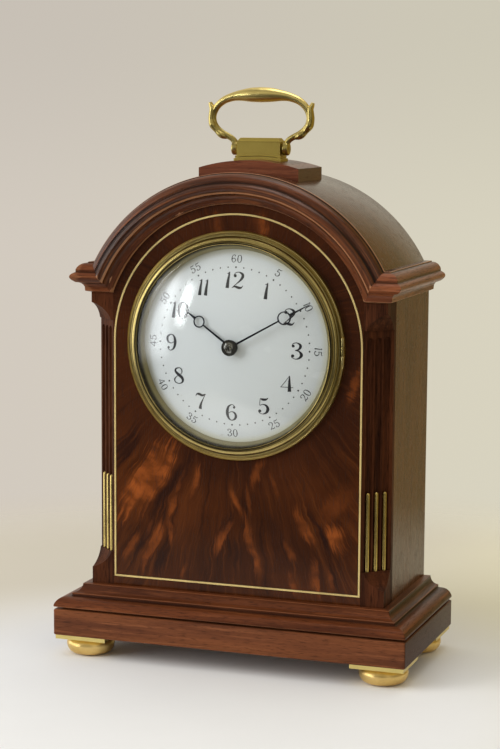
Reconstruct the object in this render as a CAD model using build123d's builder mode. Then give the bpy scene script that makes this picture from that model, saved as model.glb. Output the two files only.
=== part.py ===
from build123d import *

import os
from math import atan2, cos, degrees, hypot, radians, sin, sqrt

# An arched-top mantel clock: a mahogany case with brass stringing, fluted canted corners, a brass
# carrying handle and bun feet, round a back-wound movement behind a convex enamel dial.
# Millimetres. +X is to the right of someone facing the dial, +Y runs to the back and +Z is up.
# The origin is on the ground, under the middle of the clock.

# Case boards
case_width = 142.0
case_depth = 71.0
wall_height = 137.2
front_thickness = 9.0
side_thickness = 8.0
back_thickness = 6.0
floor_thickness = 6.0
glue_gap = 0.05

# Arched top and the moulding that frames it
arch_overhang = 6.3
arch_thickness = 6.0
arch_drop = 21.9
moulding_lip = 0.7

# Cornice section, as (reach from the wall, rise from its underside)
cornice_height = 14.0
cornice_fillet = (2.3, 0.6)
cornice_fillet_top = (2.4, 2.4)
cornice_cove_end = (5.7, 4.7)
cornice_torus_start = (6.0, 5.0)
cornice_torus_crest = (7.9, 7.15)
cornice_torus_end = (5.6, 9.4)
cornice_list_end = (5.6, 10.6)
cornice_neck = (1.2, 13.5)
cornice_lower_hollow = 0.7
cornice_upper_hollow = 0.9

# Canted corners
cant = 10.9
post_depth = 14.0
stop_block_foot = 7.5
stop_block_head = 4.7
stop_length = 8.0
stop_step = 0.9
stop_hollow = 1.3
flute_radius = 1.75
flute_pitch = 4.3
flute_head_room = 3.0
flute_count = 3
flute_rod_radius = 1.6
flute_rod_length = 37.0

# Brass stringing let into the front
string_width = 1.1
string_depth = 1.0
string_margin = 0.75
string_rise = 4.5
string_gap = 0.03

# Base
plinth_overhang = 14.0
plinth_height = 12.3
plinth_edge = 0.7
base_height = 10.9
base_fillet = (3.5, 0.5)
base_cove_end = (7.4, 4.0)
base_step_drop = 5.4
base_step_reach = 9.0
base_ovolo_drop = 9.0
base_cove_hollow = 1.0
base_ovolo_swell = 1.1
base_groove_height = 0.7
base_groove_depth = 1.0
base_screw_radius = 1.8
base_screw_head_radius = 3.4
base_screw_head = 2.0
base_screw_length = 26.0
base_screw_inset = 26.0

# Feet
foot_diameter = 23.6
foot_height = 8.4
foot_ground_diameter = 13.0
foot_neck_diameter = 18.0
foot_belly_height = 4.2
foot_stud_radius = 2.0
foot_stud_length = 8.0
pad_size = 25.0
pad_thickness = 1.9
pad_inset = 0.8
screw_gap = 0.05

# Handle block, stand and handle
block_width = 48.0
block_depth = 34.7
block_setback = 15.2
block_thickness = 5.7
stand_base_width = 23.0
stand_base_depth = 10.0
stand_base_rise = 1.4
stand_step_width = 22.0
stand_step_depth = 8.8
stand_step_rise = 2.6
stand_width = 21.0
stand_depth = 7.4
stand_height = 9.9
stand_bevel = 1.7
stand_bolt_radius = 1.5
stand_bolt_spacing = 11.0
stand_bolt_grip = 5.0
stand_bolt_end_room = 1.0
stand_bolt_head = 2.0
stand_bolt_head_radius = 3.0
pivot_rise = 5.0
pivot_radius = 1.3
pivot_depth = 3.0
pivot_gap = 0.05
boss_radius = 3.1
boss_thickness = 3.0
boss_gap = 0.3
handle_rise = 24.6
handle_half_width = 23.6
handle_swell_radius = 3.45
# Grip sections as shares of its half width, of its rise and of its swell
grip_sections = ((0.0, 1.0, 1.0), (0.3, 0.98, 0.9), (0.58, 0.93, 0.62), (0.84, 0.8, 0.45))
handle_arm_radius = 1.55
handle_elbow_out = 1.0
handle_elbow_rise = 16.2
handle_knee_in = 0.4
handle_knee_rise = 8.1
handle_ankle_out = 2.6
handle_ankle_rise = 4.2
handle_bend_radius = 3.1
leaf_tip_radius = 1.4
leaf_tip_out = 0.7
leaf_tip_rise = 19.2
leaf_knee_radius = 1.7
leaf_knee_out = 0.1
leaf_knee_rise = 10.3

# Bezel, glass and dial, with depths counted from the face of the front board
bezel_bead = 1.1
bezel_bead_room = 0.6
bezel_bead_height = 3.0
bezel_flange = 1.6
bezel_tube_wall = 1.2
bezel_tube_length = 2.0
door_wall = 3.25
door_gap = 0.2
door_lip_reach = 0.8
door_height = 6.4
door_reed_count = 3
door_reed_swell = 0.4
door_edge = 0.6
door_lip_thickness = 0.8
door_lip_width = 0.9
glass_thickness = 1.6
glass_dome = 7.8
glass_gap = 0.05
sight_reach = 3.2
sight_gap = 0.24
sight_wall = 0.8
hinge_radius = 0.85
hinge_pin_radius = 0.45
hinge_pin_gap = 0.04
hinge_length = 12.0
hinge_middle = 4.0
hinge_gap = 0.2
hinge_leaf = 1.0
bezel_hinge_offset = 0.82
dial_radius = 47.0
dial_side_gap = 0.4
dial_thickness = 1.2
dial_crown = 5.7
dial_rise = 5.6
dial_hole_radius = 2.9
dial_foot_radius = 0.9
dial_foot_inset = 13.0
dial_foot_angles = (90, 210, 330)

# Hands
hand_thickness = 0.6
hour_hand_lift = 1.0
minute_hand_lift = 2.5
minute_hand_short = 2.3
minute_tip_length = 12.8
hour_hand_short = 15.0
hour_tip_length = 7.5
hand_ring_radius = 2.55
hand_ring_width = 0.85
hand_root_width = 1.7
hand_neck_width = 1.0
hand_hub_radius = 3.3
hand_ring_lap = 0.3
hand_tip_root_width = 2.0
hand_tip_width = 0.2
minute_hand_angle = 60.5
collet_radius = 3.7
collet_height = 2.2
cannon_past_hand = 0.2
arbor_past_cannon = 0.5

# Movement plates
plate_thickness = 2.0
plate_gap = 24.0
back_plate_inset = 8.6
pillar_radius = 2.2
pillar_inset = 5.0
pillar_angles = (45, 180, 270, 340)
pillar_screw_radius = 1.1
pillar_screw_head_radius = 2.4
pillar_screw_head = 1.3
pillar_screw_length = 6.0
pillar_hole_room = 0.5
plate_screw_radius = 0.45
plate_screw_length = 3.6
plate_screw_angles = (30, 150, 210, 330)

# Wheels and pinions of the train
tooth_addendum = 0.75
tooth_dedendum = 1.15
tooth_root_share = 0.4
tooth_tip_share = 0.2
saw_back_share = 0.15
arbor_radius = 1.2
pivot_pin_radius = 0.6
bearing_gap = 0.05
wheel_rim = 1.2
wheel_hub_radius = 3.2
wheel_arm_width = 1.8
wheel_arms = 4
barrel_teeth = 72
centre_pinion_leaves = 12
barrel_module = 0.5
barrel_angle = 225
centre_teeth = 80
third_pinion_leaves = 10
centre_module = 0.4
third_angle = 30
third_teeth = 75
fourth_pinion_leaves = 10
third_module = 0.36
fourth_angle = 130
fourth_teeth = 64
fourth_arbor_radius = 0.9
escape_pinion_leaves = 8
fourth_module = 0.32
escape_angle = 160
escape_teeth = 15
escape_radius = 4.8
escape_root_radius = 3.6

# Depths of the train's layers, from the back of the front plate
great_wheel_depth = 1.5
great_wheel_thickness = 2.0
third_wheel_depth = 12.0
centre_wheel_depth = 18.0
fourth_wheel_depth = 21.2
train_wheel_thickness = 1.2
pinion_overlap = 0.8

# Barrel, winding and click
barrel_radius = 16.4
barrel_wall = 1.2
barrel_height = 12.0
barrel_cap_thickness = 1.2
winding_arbor_radius = 2.0
winding_hub_radius = 4.2
winding_square = 3.2
winding_reach = 16.0
winding_pivot_step = 0.5
winding_shoulder_gap = 0.3
winding_hub_gap = 0.2
spring_turns = 6
spiral_steps = 20
spring_ribbon = 0.6
spring_outer_gap = 0.6
spring_inner_gap = 0.8
spring_side_gap = 0.3
ratchet_teeth = 24
ratchet_radius = 7.0
ratchet_root_radius = 5.7
ratchet_thickness = 1.8
ratchet_gap = 0.3
click_length = 9.5
click_swing = 62
click_pivot_radius = 1.2
click_boss_radius = 2.3
click_tip_gap = 0.15
click_tip_width = 0.8
click_spring_lap = 1.0
click_spring_length = 8.0
click_spring_width = 0.7
click_spring_foot_radius = 1.4

# Platform escapement on the back plate
platform_radius = 13.4
platform_offset = (-13.0, 23.0)
platform_thickness = 1.6
escape_wheel_lift = 1.8
escape_wheel_thickness = 0.6
lever_gap = 0.2
lever_thickness = 0.7
lever_width = 1.0
lever_fork_width = 3.0
lever_pallet_span = 7.6
lever_pallet_reach = 2.5
lever_line = 190
pallet_distance = 6.3
balance_distance = 8.0
balance_radius = 7.5
balance_rim = 1.3
balance_thickness = 1.0
balance_lift = 6.6
roller_radius = 2.4
roller_thickness = 0.5
roller_lift = 4.2
escape_cock_lift = 4.6
cock_thickness = 1.3
cock_post_radius = 1.5
cock_width = 3.4
escape_cock_reach = 6.8
balance_cock_lift = 9.2
balance_cock_reach = 9.5
balance_cock_angle = 280
hairspring_turns = 5
hairspring_ribbon = 0.22
hairspring_height = 0.5
hairspring_lift = 8.0
hairspring_inner = 0.85
hairspring_outer = 4.6

# Motion work on the front plate
cannon_leaves = 12
minute_wheel_teeth = 36
minute_module = 0.5
minute_pinion_leaves = 10
hour_wheel_teeth = 40
hour_module = 0.48
minute_stud_angle = 300
minute_stud_radius = 1.0
minute_stud_end = 1.0
motion_gap = 0.4
motion_thickness = 1.2
motion_step = 0.5
centre_pin_radius = 0.95
cannon_radius = 1.65
hour_pipe_radius = 2.4
hour_pipe_gap = 0.1
press_gap = 0.02
setting_reach = 16.0
setting_square = 2.6

# Straps, rear ring and rear door
strap_width = 9.0
strap_thickness = 1.4
strap_inset = 0.6
strap_lug = 8.0
strap_rear_room = 6.0
strap_front_screw_inset = 6.5
strap_screw_radius = 1.2
strap_screw_head_radius = 1.8
strap_screw_head = 1.4
strap_screw_inset = 2.6
rear_ring_margin = 2.6
rear_ring_flange = 1.4
rear_tube_wall = 1.4
rear_tube_length = 9.0
rear_door_margin = 2.4
rear_door_lap = 2.4
rear_door_thickness = 1.0
rear_rim_depth = 2.0
rear_rim_wall = 1.0
rear_rim_gap = 0.3
rear_knob_radius = 2.0
rear_knob_length = 3.2
rear_knob_inset = 6.0
rear_hinge_offset = 1.2

# Levels and places worked out from the sizes above
BACK = (0, 1, 0)
STANDING = (Align.CENTER, Align.CENTER, Align.MIN)
plinth_z = foot_height + pad_thickness
base_z = plinth_z + plinth_height
case_z = base_z + base_height
cornice_z = case_z + wall_height
cornice_top = cornice_z + cornice_height
dial_z = cornice_z - arch_drop
case_half = case_width / 2
plinth_half = case_half + plinth_overhang
front_half = case_half - cant
arch_radius = case_half + arch_overhang
arch_inner = arch_radius - arch_thickness
moulding_inner = arch_radius + moulding_lip - cornice_height
rear_proud = rear_ring_flange + door_gap + rear_door_thickness + rear_knob_length
overall_depth = plinth_overhang + case_depth + rear_proud
front_y = plinth_overhang - overall_depth / 2
back_y = front_y + case_depth
block_y = front_y + block_setback
handle_y = block_y + block_depth / 2
block_radius = arch_radius + block_thickness
block_top = dial_z + block_radius
pivot_z = block_top + pivot_rise
plate_y = front_y + bezel_tube_length
train_y = plate_y + plate_thickness
back_plate_y = train_y + plate_gap
rear_y = back_plate_y + plate_thickness
dial_y = front_y - dial_rise
bezel_tube_bore = dial_radius + dial_side_gap
bezel_tube_radius = bezel_tube_bore + bezel_tube_wall
glass_radius = dial_radius
glass_seat_radius = glass_radius + glass_gap
door_radius = glass_seat_radius + door_wall
door_lip_radius = glass_radius - door_lip_reach
bezel_radius = door_radius + bezel_bead_room + bezel_bead
sight_radius = glass_radius - sight_reach
dial_foot_circle = dial_radius - dial_foot_inset
minute_hand_length = sight_radius - minute_hand_short
minute_ring_centre = minute_hand_length - minute_tip_length
hour_hand_length = minute_hand_length - hour_hand_short
hour_ring_centre = hour_hand_length - hour_tip_length
back_plate_radius = bezel_tube_radius - back_plate_inset
pillar_circle = back_plate_radius - pillar_inset
strap_outer = bezel_tube_radius - strap_inset
strap_lug_screw = strap_outer - strap_front_screw_inset
strap_screw_circle = strap_outer - strap_screw_inset
rear_ring_radius = strap_screw_circle + rear_ring_margin
rear_door_radius = strap_screw_circle - rear_door_margin
rear_ring_bore = rear_door_radius - rear_door_lap
dial_sphere = (dial_radius**2 + dial_crown**2) / (2 * dial_crown)
dial_sphere_y = dial_y + dial_sphere
dial_axis = Axis((0, 0, dial_z), (0, 1, 0))


def dial_sag(radius):
    """How far the dial's face falls back at a radius."""
    return dial_sphere - sqrt(dial_sphere**2 - radius**2)




def facing(y, x=0.0, z=0.0):
    """An upright plane at depth y, seen from the front: its x is +X and its y is +Z."""
    return Plane(origin=(x, y, z), x_dir=(1, 0, 0), z_dir=(0, -1, 0))


def from_dial(y, spot=(0.0, 0.0), turn=0.0):
    """The same plane at a spot counted from the middle of the dial, turned by an angle."""
    x_dir = (cos(radians(turn)), 0, sin(radians(turn)))
    return Plane(origin=(spot[0], y, dial_z + spot[1]), x_dir=x_dir, z_dir=(0, -1, 0))


def away(spot, distance, angle):
    """The spot at a distance and an angle from another, angles counted from +X towards +Z."""
    return (spot[0] + distance * cos(radians(angle)), spot[1] + distance * sin(radians(angle)))


def heading(start, end):
    """The angle of the line from one spot to another, in degrees."""
    return degrees(atan2(end[1] - start[1], end[0] - start[0]))


def rod(spot, y, radius, length, mode=Mode.ADD):
    """A round rod that runs back from depth y, at a spot counted from the middle of the dial."""
    with Locations((spot[0], y, dial_z + spot[1])):
        Cylinder(radius, length, rotation=(-90, 0, 0), align=STANDING, mode=mode)


def bore(spot, y, radius, length):
    """A round hole that runs back from depth y."""
    rod(spot, y, radius, length, mode=Mode.SUBTRACT)


def post(x, y, z, radius, length, mode=Mode.ADD):
    """A round post that stands up from z."""
    with Locations((x, y, z)):
        Cylinder(radius, length, align=STANDING, mode=mode)


def drill(x, y, z, radius, length):
    """A round hole that runs up from z."""
    post(x, y, z, radius, length, mode=Mode.SUBTRACT)


def block(x, y, z, size, mode=Mode.ADD):
    """A box with its low corner at x, y, z."""
    with Locations((x, y, z)):
        Box(*size, align=(Align.MIN, Align.MIN, Align.MIN), mode=mode)


def gear_outline(plane, teeth, module, tooth_angle):
    """A toothed disc of slim straight-sided teeth, with one tooth at the given angle."""
    pitch_radius = teeth * module / 2
    tip = pitch_radius + tooth_addendum * module
    root = pitch_radius - tooth_dedendum * module
    step = 360 / teeth
    points = []
    for tooth in range(teeth):
        middle = tooth_angle + tooth * step
        points.append(away((0, 0), root, middle - tooth_root_share * step / 2))
        points.append(away((0, 0), tip, middle - tooth_tip_share * step / 2))
        points.append(away((0, 0), tip, middle + tooth_tip_share * step / 2))
        points.append(away((0, 0), root, middle + tooth_root_share * step / 2))
    with BuildSketch(plane) as outline:
        with BuildLine():
            Polyline(*points, close=True)
        make_face()
    return outline.sketch


def saw_outline(plane, teeth, tip, root, tooth_angle):
    """A disc of saw teeth with one tip at the given angle."""
    step = 360 / teeth
    points = []
    for tooth in range(teeth):
        middle = tooth_angle + tooth * step
        points.append(away((0, 0), tip, middle))
        points.append(away((0, 0), root, middle + saw_back_share * step))
    with BuildSketch(plane) as outline:
        with BuildLine():
            Polyline(*points, close=True)
        make_face()
    return outline.sketch


def wheel_windows(plane, rim_inner, hub):
    """The openings between the arms of a crossed-out wheel."""
    with BuildSketch(plane) as windows:
        Circle(rim_inner)
        Circle(hub, mode=Mode.SUBTRACT)
        with PolarLocations(0, wheel_arms):
            Rectangle(
                rim_inner + hub, wheel_arm_width, align=(Align.MIN, Align.CENTER), mode=Mode.SUBTRACT
            )
    return windows.sketch


def add_wheel(spot, y, teeth, module, thickness, tooth_angle):
    """A crossed-out wheel, running back from depth y."""
    plane = from_dial(y, spot)
    extrude(gear_outline(plane, teeth, module, tooth_angle), amount=thickness, dir=BACK)
    rim_inner = teeth * module / 2 - tooth_dedendum * module - wheel_rim
    extrude(wheel_windows(plane, rim_inner, wheel_hub_radius), amount=thickness, dir=BACK, mode=Mode.SUBTRACT)


def add_pinion(spot, y, leaves, module, length, tooth_angle):
    """A pinion, running back from depth y."""
    extrude(gear_outline(from_dial(y, spot), leaves, module, tooth_angle), amount=length, dir=BACK)


def gap_angle(leaves, towards):
    """The angle of a tooth, so that the gap beside it faces the given way."""
    return towards + 180 / leaves


def spiral_ribbon(plane, inner, outer, turns, ribbon):
    """A flat spiral of ribbon between two radii."""
    outer_edge = []
    inner_edge = []
    for step in range(turns * spiral_steps + 1):
        share = step / (turns * spiral_steps)
        radius = inner + (outer - inner) * share
        outer_edge.append(away((0, 0), radius + ribbon / 2, 360 * turns * share))
        inner_edge.append(away((0, 0), radius - ribbon / 2, 360 * turns * share))
    with BuildSketch(plane) as ribbon_face:
        with BuildLine():
            Polyline(*outer_edge, *reversed(inner_edge), close=True)
        make_face()
    return ribbon_face.sketch


def draw_cornice_edge(wall, level, side):
    """The cornice section from the wall outwards: side is +1 to the right, -1 to the left."""
    def at(point):
        return (wall + side * point[0], level + point[1])

    Line(at((0, 0)), at(cornice_fillet))
    Line(at(cornice_fillet), at(cornice_fillet_top))
    SagittaArc(at(cornice_fillet_top), at(cornice_cove_end), side * cornice_lower_hollow)
    Line(at(cornice_cove_end), at(cornice_torus_start))
    ThreePointArc(at(cornice_torus_start), at(cornice_torus_crest), at(cornice_torus_end))
    Line(at(cornice_torus_end), at(cornice_list_end))
    SagittaArc(at(cornice_list_end), at(cornice_neck), side * cornice_upper_hollow)
    Line(at(cornice_neck), at((cornice_neck[0], cornice_height)))
    Line(at((cornice_neck[0], cornice_height)), at((0, cornice_height)))


def draw_base_edge(wall, level, side):
    """The moulded edge of the base board, from the foot of the wall out and down."""
    def at(reach, drop):
        return (wall + side * reach, level - drop)

    foot = base_height - base_groove_height
    Line(at(0, 0), at(base_fillet[0], 0))
    Line(at(base_fillet[0], 0), at(*base_fillet))
    SagittaArc(at(*base_fillet), at(*base_cove_end), -side * base_cove_hollow)
    Line(at(*base_cove_end), at(base_cove_end[0], base_step_drop))
    Line(at(base_cove_end[0], base_step_drop), at(base_step_reach, base_step_drop))
    SagittaArc(
        at(base_step_reach, base_step_drop), at(plinth_overhang, base_ovolo_drop), side * base_ovolo_swell
    )
    Line(at(plinth_overhang, base_ovolo_drop), at(plinth_overhang, foot))
    Line(at(plinth_overhang, foot), at(plinth_overhang - base_groove_depth, foot))
    Line(at(plinth_overhang - base_groove_depth, foot), at(plinth_overhang - base_groove_depth, base_height))
    Line(at(plinth_overhang - base_groove_depth, base_height), at(0, base_height))


def arched_outline(plane, half, foot, radius):
    """A board with straight sides and a round top, concentric with the dial."""
    with BuildSketch(plane) as outline:
        with Locations((0, dial_z)):
            Circle(radius)
            Rectangle(2 * half, 2 * radius, mode=Mode.INTERSECT)
        with Locations((0, foot)):
            Rectangle(2 * half, dial_z - foot, align=(Align.CENTER, Align.MIN))
            Rectangle(2 * case_half, 2 * dial_z, align=(Align.CENTER, Align.MIN), mode=Mode.INTERSECT)
    return outline.sketch


def string_loop(plane, gap):
    """The loop of stringing: straight sides under a half circle, wider by a gap on each side."""
    middle = front_half - string_margin
    with BuildSketch(plane) as loop:
        for edge, mode in ((string_width / 2 + gap, Mode.ADD), (-string_width / 2 - gap, Mode.SUBTRACT)):
            radius = middle + edge
            foot = case_z + string_rise - edge
            with Locations((0, dial_z)):
                Circle(radius, mode=mode)
            with Locations((0, foot)):
                Rectangle(2 * radius, dial_z - foot, align=(Align.CENTER, Align.MIN), mode=mode)
    return loop.sketch


os.makedirs("parts", exist_ok=True)

# Feet: bun feet with studs, and the square pads between them and the plinth
foot_x = plinth_half - pad_inset - pad_size / 2
foot_front_y = front_y - plinth_overhang + pad_inset + pad_size / 2
foot_back_y = back_y - pad_inset - pad_size / 2
foot_spots = [(x, y) for x in (-foot_x, foot_x) for y in (foot_front_y, foot_back_y)]


def bun_foot_profile(x, y):
    """Half the section of a bun foot and its stud, round the upright line at x, y."""
    stud_top = plinth_z + foot_stud_length
    with BuildSketch(facing(y, x)) as profile:
        with BuildLine():
            Line((0, 0), (foot_ground_diameter / 2, 0))
            ThreePointArc(
                (foot_ground_diameter / 2, 0),
                (foot_diameter / 2, foot_belly_height),
                (foot_neck_diameter / 2, foot_height),
            )
            Polyline(
                (foot_neck_diameter / 2, foot_height),
                (foot_stud_radius, foot_height),
                (foot_stud_radius, stud_top),
                (0, stud_top),
                (0, 0),
            )
        make_face()
    return profile.sketch


with BuildPart() as bun_feet:
    for x, y in foot_spots:
        revolve(bun_foot_profile(x, y), axis=Axis((x, y, 0), (0, 0, 1)))
bun_feet.part.label = "bun_feet"
export_step(bun_feet.part, "parts/bun_feet.step")

with BuildPart() as foot_pads:
    with BuildSketch(Plane.XY.offset(foot_height)):
        with Locations(*foot_spots):
            Rectangle(pad_size, pad_size)
            Circle(foot_stud_radius + screw_gap, mode=Mode.SUBTRACT)
    extrude(amount=pad_thickness)
foot_pads.part.label = "foot_pads"
export_step(foot_pads.part, "parts/foot_pads.step")

# Plinth and moulded base board, screwed together from below
base_screw_spots = [
    (x, y)
    for x in (-case_half + base_screw_inset, case_half - base_screw_inset)
    for y in (front_y + base_screw_inset, back_y - base_screw_inset)
]

with BuildPart() as plinth:
    plinth_size = (2 * plinth_half, plinth_overhang + case_depth, plinth_height)
    block(-plinth_half, front_y - plinth_overhang, plinth_z, plinth_size)
    front_and_sides = plinth.edges().filter_by(Axis.Z, reverse=True).group_by(Axis.Z)[-1]
    fillet(front_and_sides, radius=plinth_edge)
    for x, y in foot_spots:
        drill(x, y, plinth_z, foot_stud_radius + screw_gap, foot_stud_length)
    for x, y in base_screw_spots:
        drill(x, y, plinth_z, base_screw_radius + screw_gap, plinth_height)
        drill(x, y, plinth_z, base_screw_head_radius + screw_gap, base_screw_head)
plinth.part.label = "plinth"
export_step(plinth.part, "parts/plinth.step")

with BuildPart() as base_moulding:
    with BuildSketch(Plane.XZ):
        with BuildLine():
            draw_base_edge(case_half, case_z, 1)
            draw_base_edge(-case_half, case_z, -1)
            Line((-case_half, case_z), (case_half, case_z))
            Line((-case_half, base_z), (case_half, base_z))
        make_face()
    extrude(amount=overall_depth, both=True)
    with BuildSketch(Plane.YZ):
        with BuildLine():
            draw_base_edge(front_y, case_z, -1)
            Polyline((front_y, case_z), (back_y, case_z), (back_y, base_z), (front_y, base_z))
        make_face()
    extrude(amount=2 * plinth_half, both=True, mode=Mode.INTERSECT)
    for x, y in base_screw_spots:
        drill(x, y, base_z, base_screw_radius + screw_gap, base_height)
base_moulding.part.label = "base_moulding"
export_step(base_moulding.part, "parts/base_moulding.step")

with BuildPart() as base_screws:
    for x, y in base_screw_spots:
        post(x, y, plinth_z, base_screw_radius, base_screw_length)
        post(x, y, plinth_z, base_screw_head_radius, base_screw_head)
base_screws.part.label = "base_screws"
export_step(base_screws.part, "parts/base_screws.step")

# Case floor, front, sides, back and arched top
with BuildPart() as case_floor:
    block(
        -case_half + side_thickness,
        front_y + post_depth,
        case_z,
        (case_width - 2 * side_thickness, case_depth - post_depth - back_thickness, floor_thickness),
    )
    for x, y in base_screw_spots:
        drill(x, y, case_z, base_screw_radius + screw_gap, floor_thickness)
case_floor.part.label = "case_floor"
export_step(case_floor.part, "parts/case_floor.step")

board_hole = bezel_tube_radius + door_gap

with BuildPart() as front_board:
    extrude(
        arched_outline(facing(front_y), front_half, case_z, arch_inner - glue_gap),
        amount=front_thickness,
        dir=BACK,
    )
    bore((0, 0), front_y, board_hole, front_thickness)
    extrude(string_loop(facing(front_y), string_gap), amount=string_depth, dir=BACK, mode=Mode.SUBTRACT)
front_board.part.label = "front_board"
export_step(front_board.part, "parts/front_board.step")

with BuildPart() as front_stringing:
    extrude(string_loop(facing(front_y), 0), amount=string_depth, dir=BACK)
front_stringing.part.label = "front_stringing"
export_step(front_stringing.part, "parts/front_stringing.step")


def make_side_panel(side):
    """One side panel, behind its corner post."""
    low_x = case_half - side_thickness if side > 0 else -case_half
    with BuildPart() as panel:
        block(
            low_x,
            front_y + post_depth,
            case_z,
            (side_thickness, case_depth - post_depth, cornice_top - case_z),
        )
    return panel


side_panel_left = make_side_panel(-1)
side_panel_left.part.label = "side_panel_left"
export_step(side_panel_left.part, "parts/side_panel_left.step")

side_panel_right = make_side_panel(1)
side_panel_right.part.label = "side_panel_right"
export_step(side_panel_right.part, "parts/side_panel_right.step")

# Corner posts: a square block at each end, a hollow stop, and a fluted cant between the stops
cant_depth = cant / sqrt(2)
flute_foot = case_z + stop_block_foot + stop_length
flute_head = cornice_z - stop_block_head - stop_length
flute_shifts = [flute_pitch * (index - (flute_count - 1) / 2) for index in range(flute_count)]


def flute_spot(side, shift):
    """The middle of a flute on the cant, as x and y."""
    inward = cant_depth / sqrt(2)
    along = shift / sqrt(2)
    return (side * (case_half - inward + along), front_y + inward + along)


def make_corner_post(side):
    """One corner post with its canted and fluted corner."""
    low_x = front_half if side > 0 else -case_half
    cant_plane = Plane(origin=(side * case_half, front_y, 0), x_dir=(-side, 1, 0), z_dir=(1, side, 0))
    with BuildPart() as corner:
        block(low_x, front_y, case_z, (cant, post_depth, cornice_top - case_z))
        with BuildSketch(cant_plane):
            with BuildLine():
                outside = -cant
                floor = cant_depth - stop_step
                low = flute_foot - stop_length
                high = flute_head + stop_length
                Line((outside, low), (0, low))
                SagittaArc((0, low), (floor, flute_foot), -stop_hollow)
                Line((floor, flute_foot), (cant_depth, flute_foot))
                Line((cant_depth, flute_foot), (cant_depth, flute_head))
                Line((cant_depth, flute_head), (floor, flute_head))
                SagittaArc((floor, flute_head), (0, high), -stop_hollow)
                Line((0, high), (outside, high))
                Line((outside, high), (outside, low))
            make_face()
        extrude(amount=2 * cant, both=True, mode=Mode.SUBTRACT)
        for shift in flute_shifts:
            x, y = flute_spot(side, shift)
            top = flute_head - flute_head_room - flute_radius
            drill(x, y, flute_foot, flute_radius, top - flute_foot)
            with Locations((x, y, top)):
                Sphere(flute_radius, mode=Mode.SUBTRACT)
    return corner


corner_post_left = make_corner_post(-1)
corner_post_left.part.label = "corner_post_left"
export_step(corner_post_left.part, "parts/corner_post_left.step")

corner_post_right = make_corner_post(1)
corner_post_right.part.label = "corner_post_right"
export_step(corner_post_right.part, "parts/corner_post_right.step")

with BuildPart() as flute_rods:
    for side in (-1, 1):
        for shift in flute_shifts:
            x, y = flute_spot(side, shift)
            straight = flute_rod_length - flute_rod_radius
            post(x, y, flute_foot, flute_rod_radius, straight)
            with Locations((x, y, flute_foot + straight)):
                Sphere(flute_rod_radius)
flute_rods.part.label = "flute_rods"
export_step(flute_rods.part, "parts/flute_rods.step")

with BuildPart() as arch_sheet:
    with BuildSketch(facing(front_y)):
        with Locations((0, dial_z)):
            Circle(arch_radius)
            Circle(arch_inner, mode=Mode.SUBTRACT)
        with Locations((0, cornice_top)):
            Rectangle(3 * arch_radius, arch_radius, align=(Align.CENTER, Align.MIN), mode=Mode.INTERSECT)
    extrude(amount=case_depth, dir=BACK)
    for x in (-stand_bolt_spacing / 2, stand_bolt_spacing / 2):
        drill(x, handle_y, dial_z, stand_bolt_radius + screw_gap, 2 * arch_radius)
arch_sheet.part.label = "arch_sheet"
export_step(arch_sheet.part, "parts/arch_sheet.step")

# Mouldings: the arch moulding and the cornice returns share one section and meet at a mitre
mitre_low = sqrt(moulding_inner**2 - arch_drop**2)
mitre_high = sqrt((moulding_inner + cornice_height) ** 2 - (arch_drop + cornice_height) ** 2)
mitre_slope = (mitre_high - mitre_low) / cornice_height
mitre_run = 3 * cornice_height


def mitre_x(z):
    """How far the mitre is from the middle at a height."""
    return mitre_low + mitre_slope * (z - cornice_z)


with BuildPart() as arch_moulding:
    with BuildSketch(Plane.YZ):
        with BuildLine():
            draw_cornice_edge(front_y, dial_z + moulding_inner, -1)
            Line((front_y, dial_z + moulding_inner), (front_y, dial_z + moulding_inner + cornice_height))
        make_face()
    revolve(axis=dial_axis)
    top = dial_z + 2 * arch_radius
    with BuildSketch(facing(0)):
        with BuildLine():
            Polyline(
                (-mitre_x(cornice_z), cornice_z),
                (mitre_x(cornice_z), cornice_z),
                (mitre_x(top), top),
                (-mitre_x(top), top),
                close=True,
            )
        make_face()
    extrude(amount=overall_depth, both=True, mode=Mode.INTERSECT)
arch_moulding.part.label = "arch_moulding"
export_step(arch_moulding.part, "parts/arch_moulding.step")


def make_cornice(side):
    """One cornice return: a short stretch on the front and a run along the side to the back."""
    with BuildPart() as cornice:
        with BuildSketch(Plane.XZ):
            with BuildLine():
                draw_cornice_edge(side * case_half, cornice_z, side)
                wall = side * case_half
                Polyline((wall, cornice_z), (0, cornice_z), (0, cornice_top), (wall, cornice_top))
            make_face()
        extrude(amount=overall_depth, both=True)
        with BuildSketch(Plane.YZ):
            with BuildLine():
                draw_cornice_edge(front_y, cornice_z, -1)
                Polyline(
                    (front_y, cornice_z), (back_y, cornice_z), (back_y, cornice_top), (front_y, cornice_top)
                )
            make_face()
        extrude(amount=2 * case_width, both=True, mode=Mode.INTERSECT)
        block(-case_half, front_y, cornice_z, (case_width, case_depth, cornice_height), mode=Mode.SUBTRACT)
        with BuildSketch(facing(front_y)):
            with BuildLine():
                low = cornice_z - mitre_run
                high = cornice_top + mitre_run
                Polyline(
                    (-side * case_half, low),
                    (side * mitre_x(low), low),
                    (side * mitre_x(high), high),
                    (-side * case_half, high),
                    close=True,
                )
            make_face()
        extrude(amount=2 * cornice_torus_crest[0], mode=Mode.SUBTRACT)
    return cornice


cornice_left = make_cornice(-1)
cornice_left.part.label = "cornice_left"
export_step(cornice_left.part, "parts/cornice_left.step")

cornice_right = make_cornice(1)
cornice_right.part.label = "cornice_right"
export_step(cornice_right.part, "parts/cornice_right.step")

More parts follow.
